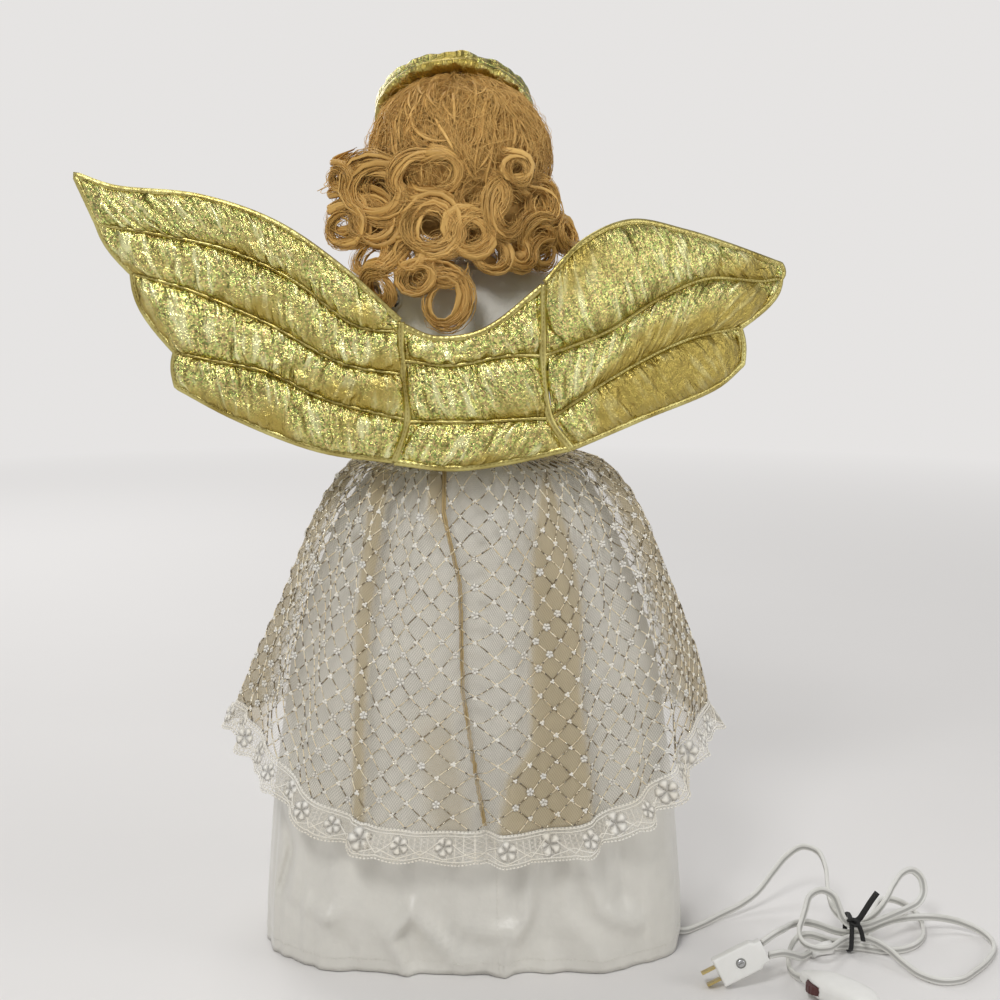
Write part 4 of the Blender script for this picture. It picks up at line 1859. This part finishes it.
def make_lattice(grid, pitch):
    """Threads in diamonds with bright dashes, a knot on every crossing and a blossom on some."""
    around = int(round(path_length(np.concatenate([grid[50], grid[50][:1]])) / pitch / 1000))
    rows = LATTICE_ROWS
    step = math.pi / around
    s = np.linspace(0.01, 0.995, 80)
    random = np.random.default_rng(8)
    lines = []
    for k in range(around):
        for sign in (1, -1):
            t = 2 * math.pi * k / around + sign * s * rows * step + 0.006 * np.sin(s * 40 + k)
            lines.append(overskirt_surface(t, s, 0.4))
    lattice = threads("lattice_threads", lines, "lace_thread", 0.42, 4)
    glints = stitches("lattice_glints", lines, "metallic_thread", 6.4, 2.4, 0.5)
    row, k = np.meshgrid(np.arange(1, rows), np.arange(around), indexing="ij")
    share = (row / rows).ravel()
    t = (2 * math.pi * (k + 0.5 * (row % 2)) / around).ravel()
    knot = bead_motif("knot_motif", (1.0, 1.0, 0.5), 3)
    facing = surface_normals(overskirt_surface, t, share)
    knots = motifs("lattice_knots", overskirt_surface(t, share, 0.55), facing, knot, "lace_motif", 1.0, 4)
    pick = (random.random(len(t)) < 0.34) & (share > 0.1)
    flower = flower_motif()
    spots = overskirt_surface(t[pick], share[pick], 0.9)
    blossoms = motifs("lattice_blossoms", spots, facing[pick], flower, "lace_motif", 1.7, 9)
    turn, down = np.meshgrid(np.linspace(-0.35, 0.35, 240) + math.pi / 2, np.linspace(0.01, 0.99, 110))
    places = overskirt_surface(turn, down, 0.5)
    nearest = np.abs(places[..., 0] - seam_line(places[..., 2])).argmin(axis=1)
    line = places[np.arange(len(places)), nearest]
    seam = threads("lace_seam", [line, line + np.array([1.4, 0, 0])], "lace_seam", 0.75, 5)
    made = [lattice, glints, knots, blossoms, seam]
    for piece in made:
        ride(piece, "figure")
    for motif in (knot, flower):
        bpy.data.objects.remove(motif)
    return made


def make_trim():
    """Scalloped trim: a flared net band with flowers, zigzag cording and a beaded edge."""
    bands, each = TRIM_BANDS, 14
    t = full_turn(bands * each)
    drop = np.linspace(0, 1, 11)
    top = overskirt_surface(t, np.ones_like(t))
    way = top * np.array([1, 1, 0])
    way /= np.linalg.norm(way, axis=1)[:, None]
    scallop = 2.6 * np.abs(np.sin(bands / 2 * t)) - 1.0
    flutter = 2.6 * np.sin(21 * t) + 1.6 * np.sin(37 * t + 1)
    rows = []
    for d in drop:
        fall = np.stack([0 * t, 0 * t, -0.2 - d * 18.6 - scallop * d**2], -1)
        rows.append(top + way * (9 * d + flutter * d**1.4)[:, None] + fall)
    band = np.array(rows)
    uv = np.stack(np.meshgrid(np.linspace(0, bands, len(t) + 1), drop), -1)
    trim = grid_piece("lace_trim_band", band, "lace_band", wrap=True, uv=uv, outward=(0, 0, 100))
    thicken(trim, 0.3)
    index = (np.arange(bands) * each + each // 2) % len(t)
    facing = np.cross(band[6][(index + 1) % len(t)] - band[6][index], band[7][index] - band[5][index])
    facing /= np.linalg.norm(facing, axis=1)[:, None]
    facing *= np.sign(np.einsum("ij,ij->i", facing, way[index]))[:, None]
    flower = flower_motif()
    blooms = motifs("trim_flowers", band[5][index] + facing * 0.5, facing, flower, "lace_motif", 4.9, 6)
    bpy.data.objects.remove(flower)
    out = way * 0.4

    def along(level):
        """A line on the band at a share of its drop for each place round it."""
        low = np.clip(np.floor(level * 10).astype(int), 0, 9)
        part = (level * 10 - low)[:, None]
        place = np.arange(len(t))
        line = band[low, place] * (1 - part) + band[low + 1, place] * part + out
        return np.concatenate([line, line[:1]])

    phase = (np.arange(len(t)) % each) / each
    zigzag = np.abs(2 * phase - 1)
    levels = (0 * t + 0.06, 0 * t + 0.16, 0.2 + 0.62 * zigzag, 0.86 - 0.2 * zigzag, 0 * t + 0.9)
    cords = threads("trim_cording", [along(level) for level in levels], "lace_motif", 0.42, 5)
    picot = stitches("trim_picots", [along(0 * t + 0.995), along(0 * t + 0.02)], "lace_motif", 2.5, 2.3, 0.62)
    made = [blooms, cords, picot]
    for piece in (trim, *made):
        ride(piece, "figure")
    return trim, made, flat_size(band, TRIM_HEIGHT)


def make_lace(sizes):
    count = 400
    shares = np.concatenate([np.linspace(0, 0.12, 18), np.linspace(0.14, 1, 64)])
    grid = skirt_grid(overskirt_surface, count, shares)
    net = grid_piece("lace_net_skirt", grid, "lace_net", wrap=True, uv=surface_uv(grid), outward=(0, 0, 200))
    thicken(net, 0.25)
    keep_values(net.data, "doubled", doubled_lace(*read_points(net).T))
    ride(net, "figure")
    lattice = make_lattice(grid, sizes.lattice_pitch)
    trim, trimmings, trim_flat = make_trim()
    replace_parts(net, "lace_overskirt")
    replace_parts(trim, "lace_trim")


# Bodice and sleeves

NECK_Z, BODICE_HEM_Z = 467.2, 348
# Height, half width and half depth, from the neck down
TORSO = np.array([
    (469, 27, 22), (463, 48, 25), (452, 58.5, 31), (430, 56.5, 37), (400, 50.5, 37.5), (365, 45.5, 36.5),
    (336.7, 42, 33),
])


def bodice_surface(t, share, grow=0.0):
    """Satin bodice, a little outside the torso, with tucks at the waist."""
    z = NECK_Z - (NECK_Z - BODICE_HEM_Z) * share
    a, b = profile(TORSO, z)
    folds = 0.5 * np.sin(9 * t + 3 * share) + 0.4 * np.sin(15 * t - 6 * share)
    tuck = 0.7 * np.sin(40 * t) * ridge(share, 1.0, 0.12)
    return oval_points(t, a + 1.7, b + 1.7, z, 2.4, folds * 0.5 + tuck * 0.4 + grow)


ARM_ROUTE = [(66, 14, 446), (78, 11, 443.5), (91, 0, 420), (88, -22, 396), (72, -50, 396), (54, -76, 404)]


# The armholes: place in Y and Z, and radius
ARMHOLE_Y, ARMHOLE_Z, ARMHOLE_RADIUS = 14, 446, 9.5


def make_bodice():
    grid = skirt_grid(bodice_surface, 210, np.linspace(0, 1, 88))
    piece = grid_piece(
        "satin_bodice", grid, "ivory_satin", wrap=True, uv=surface_uv(grid), outward=(0, 0, 410)
    )
    shape = bmesh.new()
    shape.from_mesh(piece.data)
    middles = [(face, face.calc_center_median() / MM) for face in shape.faces]
    hole = [face for face, c in middles if math.hypot(c.y - ARMHOLE_Y, c.z - ARMHOLE_Z) < ARMHOLE_RADIUS]
    bmesh.ops.delete(shape, geom=hole, context="FACES")
    shape.to_mesh(piece.data)
    shape.free()
    thicken(piece, 0.8)
    ride(piece, "figure")
    s = np.linspace(0.02, 0.98, 120)
    line = bodice_surface(np.full_like(s, math.pi / 2), s, 0.3)
    sewn = stitches("bodice_stitches", [line], "ivory_satin", 3.0, 2.0, 0.22)
    ride(sewn, "figure")
    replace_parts(piece, "bodice")


def make_collar():
    """Standing lace collar with a row of sequins."""
    t = full_turn(240)
    rings = []
    for k, (r, z) in enumerate(((21.2, 469.5), (22.0, 471), (23.2, 473), (25.3, 474.6), (27.2, 475.6))):
        wave = (k / 4) * 1.0 * np.sin(17 * t)
        height = z + 0.5 * (k / 4) * np.cos(17 * t)
        rings.append(np.stack([(r + wave) * np.cos(t), (r + wave) * np.sin(t), height], -1))
    uv = np.stack(np.meshgrid(np.linspace(0, 17, 241), np.linspace(0.1, 1, 5)), -1)
    collar = grid_piece("collar_frill", np.array(rings), "lace_band", wrap=True, uv=uv, outward=(0, 0, 480))
    thicken(collar, 0.35)
    ride(collar, "figure")
    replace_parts(collar, "collar_lace")
    disc = bead_motif("sequin_motif", (1.3, 1.3, 0.25))
    spots = np.stack([22.6 * np.cos(t[::10]), 22.6 * np.sin(t[::10]), np.full(24, 472.2)], -1)
    facing = spots * np.array([1, 1, 0]) / 22.6
    sequins = motifs("collar_sequins", spots + facing * 0.6, facing, disc, "sequin", 1.0, 2)
    ride(sequins, "figure")
    bpy.data.objects.remove(disc)


# Radius of the sleeve at shares of its length
SLEEVE_RADII = (
    (0, 16.5), (0.06, 23), (0.14, 23.6), (0.25, 22), (0.4, 18.6), (0.58, 17.4), (0.78, 15.6), (0.93, 13.2),
    (0.965, 12.6), (1, 16.6),
)
# Sleeves end short of the torso's side
SLEEVE_X = 62.6


def sleeve_section(t):
    """Section of the gathered and creased sleeve at a share of its length."""
    a = full_turn(90)
    gather = (ridge(t, 0.0, 0.09) + ridge(t, 0.95, 0.06)) * 0.8 * np.sin(22 * a)
    crease = 0.8 * np.sin(3 * a + 9 * t) * np.sin(np.pi * min(1, t))
    crease = crease + 0.6 * np.sin(5 * a - 26 * t) * ridge(t, 0.42, 0.22)
    r = float(np.interp(t, *zip(*SLEEVE_RADII))) + gather + crease
    return np.stack([r * np.cos(a), r * np.sin(a)], -1)


def make_arms():
    fine = curve_points(ARM_ROUTE, np.linspace(0, 1, 110))
    path = fine[: int(len(fine) * 0.925)]
    for side, sign in (("left", 1), ("right", -1)):
        rings = sweep_rings(path, sleeve_section)
        rings[..., 0] = np.maximum(rings[..., 0], SLEEVE_X)
        rings[..., 0] *= sign
        sleeve = grid_piece(f"{side}_satin_sleeve", rings, "ivory_satin", wrap=True, uv=surface_uv(rings))
        centre = rings.mean(axis=1)
        face = sleeve.data.polygons[len(sleeve.data.polygons) // 2]
        nearest = centre[np.argmin(np.linalg.norm(centre - np.array(face.center) / MM, axis=1))]
        if Vector(face.normal).dot(Vector(np.array(face.center) / MM - nearest)) < 0:
            sleeve.data.flip_normals()
        thicken(sleeve, 0.8)
        ride(sleeve, "arms")
        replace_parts(sleeve, f"{side}_sleeve")
        make_hand(side, sign)


def make_hand(side, sign):
    """Palm, four fingers and a thumb, fused and smoothed."""
    wrist, elbow = np.array(ARM_ROUTE[5], float), np.array(ARM_ROUTE[4], float)
    forward = Vector(wrist - elbow).normalized()
    across = forward.cross(Vector((0, 0, 1))).normalized()
    up = across.cross(forward)
    place = Matrix((across, forward, up)).transposed().to_4x4()
    place.translation = Vector(wrist)
    pieces = []

    def run(points, radii):
        """A row of balls along a line."""
        places = np.linspace(0, 1, 14)
        sizes = np.interp(places, np.linspace(0, 1, len(radii)), radii)
        for p, r in zip(curve_points(points, places), sizes):
            pieces.append(ball("joint", "painted_vinyl", 2, r * MM, Matrix.Translation(Vector(p) * MM)))

    run([(0, 1, 0), (0, 6, 0), (0, 9, 0)], [5.2, 5.0, 5.0])
    for x, top in ((-5.2, 31), (-1.8, 34.5), (1.8, 35.5), (5.2, 32)):
        run([(x * 0.5, 6, 0), (x * 0.9, 15, 0.3), (x, 23, 1.6), (x * 1.02, top, 3.8)], [4.2, 3.7, 2.3, 1.75])
    run([(-3, 7, 0), (-8, 13, 1.0), (-11.5, 20, 2.4)], [3.6, 2.9, 2.0])
    hand = merge_pieces(f"{side}_vinyl_hand", pieces)
    change(hand, "REMESH", mode="VOXEL", voxel_size=0.0007)
    change(hand, "SMOOTH", iterations=6)
    settle(hand)
    shape = placed(read_points(hand), place)
    shape[:, 0] *= sign
    write_points(hand, shape)
    if sign < 0:
        hand.data.flip_normals()
    smooth_faces(hand.data)
    ride(hand, "arms")
    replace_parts(hand, f"{side}_hand")


# The head

HEAD_WIDE, HEAD_DEEP, HEAD_HIGH = 35.4, 39.4, 44.5
HEAD_LEAN, HEAD_NOD = math.radians(6.5), math.radians(24)
HEAD_PLACE = (
    Matrix.Translation((8, -6, 536)) @ Matrix.Rotation(HEAD_LEAN, 4, "Y") @ Matrix.Rotation(HEAD_NOD, 4, "X")
)
# Bumps on the egg: across, height, reach across, reach in height, depth
FACE = [
    (0, -0.10, 0.085, 0.20, 5.6), (0, -0.27, 0.12, 0.07, 4.2), (0.075, -0.30, 0.05, 0.05, 1.6),
    (-0.075, -0.30, 0.05, 0.05, 1.6),
    (0.33, 0.02, 0.15, 0.10, -3.2), (-0.33, 0.02, 0.15, 0.10, -3.2), (0.33, 0.0, 0.12, 0.07, 2.6),
    (-0.33, 0.0, 0.12, 0.07, 2.6),
    (0, -0.475, 0.17, 0.035, 2.3), (0, -0.58, 0.15, 0.045, 2.6), (0, -0.525, 0.2, 0.02, -0.9),
    (0, -0.68, 0.16, 0.05, -1.2),
    (0, -0.86, 0.24, 0.13, 4), (0.46, -0.3, 0.22, 0.22, 2.2), (-0.46, -0.3, 0.22, 0.22, 2.2),
    (0, 0.22, 0.4, 0.12, 1.0),
]


def face_paint(x, z):
    """Shares of blush, lips and lashes at places on the face."""
    blush = sum(0.4 * np.exp(-(((x - c) / 0.2) ** 2) - (((z + 0.32) / 0.16) ** 2)) for c in (0.46, -0.46))
    lips = np.clip(1.25 * np.exp(-((np.abs(x) / 0.17) ** 4) - (((z + 0.525) / 0.085) ** 4)), 0, 0.85)
    lash = 0
    for c in (0.33, -0.33):
        lid = -0.045 + 0.9 * (x - c) ** 2
        brow = 0.17 - 1.0 * (np.abs(x) - 0.3) ** 2
        lash = lash + np.exp(-(((x - c) / 0.13) ** 4) - (((z - lid) / 0.011) ** 2))
        lash = lash + 0.6 * np.exp(-(((x - c) / 0.17) ** 4) - (((z - brow) / 0.016) ** 2))
    return {"blush": blush, "lips": lips, "lash": lash}


def make_head():
    """A calm, generic doll's face on an egg that narrows to the jaw, with a neck below it."""
    mesh = bpy.data.meshes.new("vinyl_head")
    shape = bmesh.new()
    bmesh.ops.create_uvsphere(shape, u_segments=200, v_segments=140, radius=1)
    shape.to_mesh(mesh)
    shape.free()
    points = np.zeros(len(mesh.vertices) * 3)
    mesh.vertices.foreach_get("co", points)
    p = points.reshape(-1, 3)
    jaw = np.where(p[:, 2] < 0, 1 - 0.24 * np.maximum(0, -p[:, 2]) ** 1.6, 1)
    front = smoothstep(-p[:, 1] * 6)
    bump = sum(d * np.exp(-(((p[:, 0] - x) / w) ** 2) - (((p[:, 2] - z) / h) ** 2)) for x, z, w, h, d in FACE)
    made = np.stack([
        p[:, 0] * HEAD_WIDE * jaw,
        p[:, 1] * HEAD_DEEP * (1 - 0.14 * front) * np.sqrt(jaw) - bump * front,
        p[:, 2] * HEAD_HIGH,
    ], -1)
    piece = new_object("vinyl_head", mesh, "painted_vinyl")
    write_points(piece, placed(made, HEAD_PLACE))
    smooth_faces(mesh)
    for name, value in face_paint(p[:, 0], p[:, 2]).items():
        keep_values(mesh, name, np.clip(value * front, 0, 1))
    line = curve_points([(0, 0, 466.3), (1.2, 2, 482), (4, 6, 506)], np.linspace(0, 1, 30))

    def section(t):
        return round_section(14.9 + 2.0 * t - 1.4 * math.sin(math.pi * t), 48)

    neck = tube_piece("vinyl_neck", line, section, "painted_vinyl")
    head = merge_pieces("painted_head", [piece, neck])
    ride(head, "head")
    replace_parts(head, "head_shell")


# Carried-over nodes

NODE_LOOKS = {
    "plated_steel": [
        "stand_pole", "hoop_ring", "hoop_spoke_left", "hoop_spoke_right", "hoop_spoke_rear",
        "hoop_spoke_front", "chassis_plate", "motor_can", "gearbox_case", "shoulder_bridge", "neck_shaft",
        "neck_link", "arm_shaft", "arm_link", "bracket_screw_upper", "bracket_screw_lower",
    ],
    "plain_brass": [
        "neck_bush", "foot_bush", "arm_bush_left", "arm_bush_right", "crank", "neck_lever", "arm_lever",
        "plug_blade_wide", "plug_blade_narrow",
    ],
    "pressed_board": ["base_plate"],
    "white_moulding": ["hoop_collar", "torso_front", "torso_back", "wing_bracket", "cord_lug"],
    "painted_vinyl": ["left_arm", "right_arm"],
    "cord_vinyl": ["motor_wire"],
    "wheel_plastic": ["switch_wheel"],
}


def paint_nodes():
    for name, nodes in NODE_LOOKS.items():
        for label in nodes:
            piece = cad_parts[label]
            for slot in piece.material_slots:
                slot.material = look(name)


# The stage

PALE = (0.79, 0.775, 0.765)
VIEW_LIFT = math.radians(10)
VIEW_TARGET = Vector((0, 0, 0.30745))
VIEW_DISTANCE = 1.25
VIEW_SHIFT = 0.025
SENSOR = 36
LENS_FACTOR = 1.81218
FLOOR_REACH = 9000
FLOOR_LEVEL = -0.02
ROOM_LIGHT = 0.42
# Lamps: name, place, size in metres and watts
LAMPS = (
    ("key", (0.5, 1.5, 1.7), 0.5, 17),
    ("side", (-1.7, 0.7, 0.9), 0.9, 6),
    ("over", (0.3, -0.6, 2.1), 0.9, 8),
    ("front", (0.9, -1.7, 1.0), 1.0, 9),
)


def make_camera(scene):
    camera = bpy.data.cameras.new("view")
    holder = bpy.data.objects.new("view", camera)
    scene.collection.objects.link(holder)
    holder.location = VIEW_TARGET + Vector((0, math.cos(VIEW_LIFT), math.sin(VIEW_LIFT))) * VIEW_DISTANCE
    holder.rotation_euler = (math.radians(90) - VIEW_LIFT, 0, math.pi)
    camera.sensor_width = SENSOR
    camera.lens = SENSOR * LENS_FACTOR
    camera.shift_x = VIEW_SHIFT
    camera.clip_end = 40
    scene.camera = holder


def make_floor():
    """Wide floor that fades into the pale background with the distance from the figure."""
    steps = np.linspace(-FLOOR_REACH, FLOOR_REACH, 13)
    grid = np.array([[(x, y, FLOOR_LEVEL) for x in steps] for y in steps[::-1]])
    tree, shader = material("pale_paper", PALE, 0.9)
    place = object_place(tree)
    tone = mixed(tree, noise(tree, place, 3.0), toned(PALE, 0.98), toned(PALE, 1.02))
    feed(tree, shader, Base_Color=tone)
    distance = node(tree, "ShaderNodeVectorMath", {0: place}, operation="LENGTH").outputs["Value"]
    rays = node(tree, "ShaderNodeLightPath").outputs
    mirrored = maths(tree, "MAXIMUM", rays["Is Glossy Ray"], rays["Is Transmission Ray"])
    seen = maths(tree, "MAXIMUM", rays["Is Camera Ray"], mirrored)
    share = maths(tree, "MULTIPLY", between(tree, distance, 0.7, 2.4), seen)
    glow = node(tree, "ShaderNodeEmission", {"Color": (*PALE, 1), "Strength": 1.0})
    fade = node(tree, "ShaderNodeMixShader", {0: share, 1: shader.outputs[0], 2: glow.outputs[0]})
    tree.links.new(fade.outputs[0], tree.nodes["Material Output"].inputs["Surface"])
    floor = grid_piece("floor", grid, "pale_paper")
    if floor.data.polygons[0].normal.z < 0:
        floor.data.flip_normals()


def make_room(scene):
    """Soft light from all round, with the pale background where the camera looks."""
    world = bpy.data.worlds.new("soft_room")
    scene.world = world
    world.use_nodes = True
    tree = world.node_tree
    light = tree.nodes["Background"]
    light.inputs[0].default_value = (1, 0.99, 0.975, 1)
    light.inputs[1].default_value = ROOM_LIGHT
    rays = node(tree, "ShaderNodeLightPath").outputs
    seen = maths(tree, "MAXIMUM", rays["Is Camera Ray"], rays["Is Transmission Ray"])
    sky = node(tree, "ShaderNodeBackground", {"Color": (*PALE, 1), "Strength": 1.0})
    both = node(tree, "ShaderNodeMixShader", {0: seen, 1: light.outputs[0], 2: sky.outputs[0]})
    tree.links.new(both.outputs[0], tree.nodes["World Output"].inputs["Surface"])


def make_lamps(scene):
    for name, spot, size, watts in LAMPS:
        lamp = bpy.data.lights.new(name, "AREA")
        lamp.size = size
        lamp.energy = watts
        stand = bpy.data.objects.new(name, lamp)
        scene.collection.objects.link(stand)
        stand.location = spot
        stand.rotation_euler = (VIEW_TARGET - Vector(spot)).to_track_quat("-Z", "Y").to_euler()


def make_stage():
    scene = bpy.context.scene
    scene.view_settings.view_transform = "Standard"
    make_camera(scene)
    make_floor()
    make_room(scene)
    make_lamps(scene)


# Add-on


def length_property(name, description, default):
    settings = {"name": name, "description": description, "default": default}
    return bpy.props.FloatProperty(**settings, unit="LENGTH", subtype="DISTANCE")


def colour_property(name, description, default):
    settings = {"name": name, "description": description, "default": default}
    return bpy.props.FloatVectorProperty(**settings, subtype="COLOR", min=0, max=1)


class AngelSizes(bpy.types.PropertyGroup):
    cord_width: length_property("Lead width", "Width of the flat twin lead", 0.0054)
    lattice_pitch: length_property("Lattice pitch", "Width of one diamond of the lace lattice", 0.0128)
    crown_strands: bpy.props.IntProperty(
        name="Crown strands", description="Strands on the crown of the wig", default=2200
    )


class AngelColours(bpy.types.PropertyGroup):
    gold: colour_property("Gold", "Bright gold of the lame", (0.74, 0.67, 0.27))
    gold_deep: colour_property("Deep gold", "Darker gold between the glints", (0.5, 0.385, 0.1))
    hair_light: colour_property("Light hair", "Lit strands", (0.86, 0.55, 0.18))
    hair_dark: colour_property("Dark hair", "Shaded strands", (0.4, 0.21, 0.045))
    satin: colour_property("Satin", "Ivory satin", (0.745, 0.725, 0.665))
    lace: colour_property("Lace", "Net of the overskirt", (0.84, 0.79, 0.68))
    lace_double: colour_property("Doubled lace", "Net where it lies double", (0.5, 0.405, 0.23))
    skin: colour_property("Vinyl", "Painted vinyl", (0.8, 0.6, 0.47))


class ANGEL_OT_materials(bpy.types.Operator):
    """Makes the materials and paints the carried-over parts."""

    bl_idname = "angel.materials"
    bl_label = "Finishes"
    bl_options = {"REGISTER", "UNDO"}

    def execute(self, context):
        make_materials(context.scene.angel_colours)
        stitch_tree()
        thread_tree()
        motif_tree()
        paint_nodes()
        return {"FINISHED"}


class ANGEL_OT_stage(bpy.types.Operator):
    """Makes the camera, lamps, floor and pale surroundings."""

    bl_idname = "angel.stage"
    bl_label = "Stage"
    bl_options = {"REGISTER", "UNDO"}

    def execute(self, context):
        make_stage()
        return {"FINISHED"}


class ANGEL_OT_cords(bpy.types.Operator):
    """Makes the tied leads, plug, switch case, tie and strain relief."""

    bl_idname = "angel.cords"
    bl_label = "Leads"
    bl_options = {"REGISTER", "UNDO"}

    def execute(self, context):
        make_cords(context.scene.angel_sizes)
        return {"FINISHED"}


class ANGEL_OT_wings(bpy.types.Operator):
    """Makes the quilted wings and their centre panel."""

    bl_idname = "angel.wings"
    bl_label = "Wings"
    bl_options = {"REGISTER", "UNDO"}

    def execute(self, context):
        for side in ("left", "centre", "right"):
            make_wing(side)
        return {"FINISHED"}


class ANGEL_OT_halo(bpy.types.Operator):
    """Makes the padded halo."""

    bl_idname = "angel.halo"
    bl_label = "Halo"
    bl_options = {"REGISTER", "UNDO"}

    def execute(self, context):
        make_halo()
        return {"FINISHED"}


class ANGEL_OT_hair(bpy.types.Operator):
    """Makes the wig's mass, strands and ringlets."""

    bl_idname = "angel.hair"
    bl_label = "Hair"
    bl_options = {"REGISTER", "UNDO"}

    def execute(self, context):
        make_hair(context.scene.angel_sizes)
        return {"FINISHED"}


class ANGEL_OT_gown(bpy.types.Operator):
    """Makes the satin skirt and the waist piping."""

    bl_idname = "angel.gown"
    bl_label = "Gown"
    bl_options = {"REGISTER", "UNDO"}

    def execute(self, context):
        make_gown()
        return {"FINISHED"}


class ANGEL_OT_lace(bpy.types.Operator):
    """Makes the lace overskirt and its trim."""

    bl_idname = "angel.lace"
    bl_label = "Overskirt"
    bl_options = {"REGISTER", "UNDO"}

    def execute(self, context):
        make_lace(context.scene.angel_sizes)
        return {"FINISHED"}


class ANGEL_OT_bodice(bpy.types.Operator):
    """Makes the bodice and the collar."""

    bl_idname = "angel.bodice"
    bl_label = "Bodice"
    bl_options = {"REGISTER", "UNDO"}

    def execute(self, context):
        make_bodice()
        make_collar()
        return {"FINISHED"}


class ANGEL_OT_arms(bpy.types.Operator):
    """Makes the sleeves and the hands."""

    bl_idname = "angel.arms"
    bl_label = "Sleeves and hands"
    bl_options = {"REGISTER", "UNDO"}

    def execute(self, context):
        make_arms()
        return {"FINISHED"}


class ANGEL_OT_head(bpy.types.Operator):
    """Makes the head and neck."""

    bl_idname = "angel.head"
    bl_label = "Head"
    bl_options = {"REGISTER", "UNDO"}

    def execute(self, context):
        make_head()
        return {"FINISHED"}


OPERATORS = (
    ANGEL_OT_materials,
    ANGEL_OT_stage,
    ANGEL_OT_cords,
    ANGEL_OT_wings,
    ANGEL_OT_halo,
    ANGEL_OT_hair,
    ANGEL_OT_gown,
    ANGEL_OT_lace,
    ANGEL_OT_bodice,
    ANGEL_OT_arms,
    ANGEL_OT_head,
)


class ANGEL_PT_panel(bpy.types.Panel):
    bl_label = "Angel figure"
    bl_idname = "ANGEL_PT_panel"
    bl_space_type = "VIEW_3D"
    bl_region_type = "UI"
    bl_category = "Angel"

    def draw(self, context):
        for group in (context.scene.angel_sizes, context.scene.angel_colours):
            for name in group.bl_rna.properties.keys():
                if name not in ("rna_type", "name"):
                    self.layout.prop(group, name)
        for made in OPERATORS:
            self.layout.operator(made.bl_idname)


CLASSES = (AngelSizes, AngelColours, *OPERATORS, ANGEL_PT_panel)


def register():
    for made in CLASSES:
        bpy.utils.register_class(made)
    bpy.types.Scene.angel_sizes = bpy.props.PointerProperty(type=AngelSizes)
    bpy.types.Scene.angel_colours = bpy.props.PointerProperty(type=AngelColours)


def unregister():
    del bpy.types.Scene.angel_colours
    del bpy.types.Scene.angel_sizes
    for made in reversed(CLASSES):
        bpy.utils.unregister_class(made)


def main():
    register()
    for made in OPERATORS:
        getattr(bpy.ops.angel, made.bl_idname.split(".")[1])()


if __name__ == "__main__":
    main()
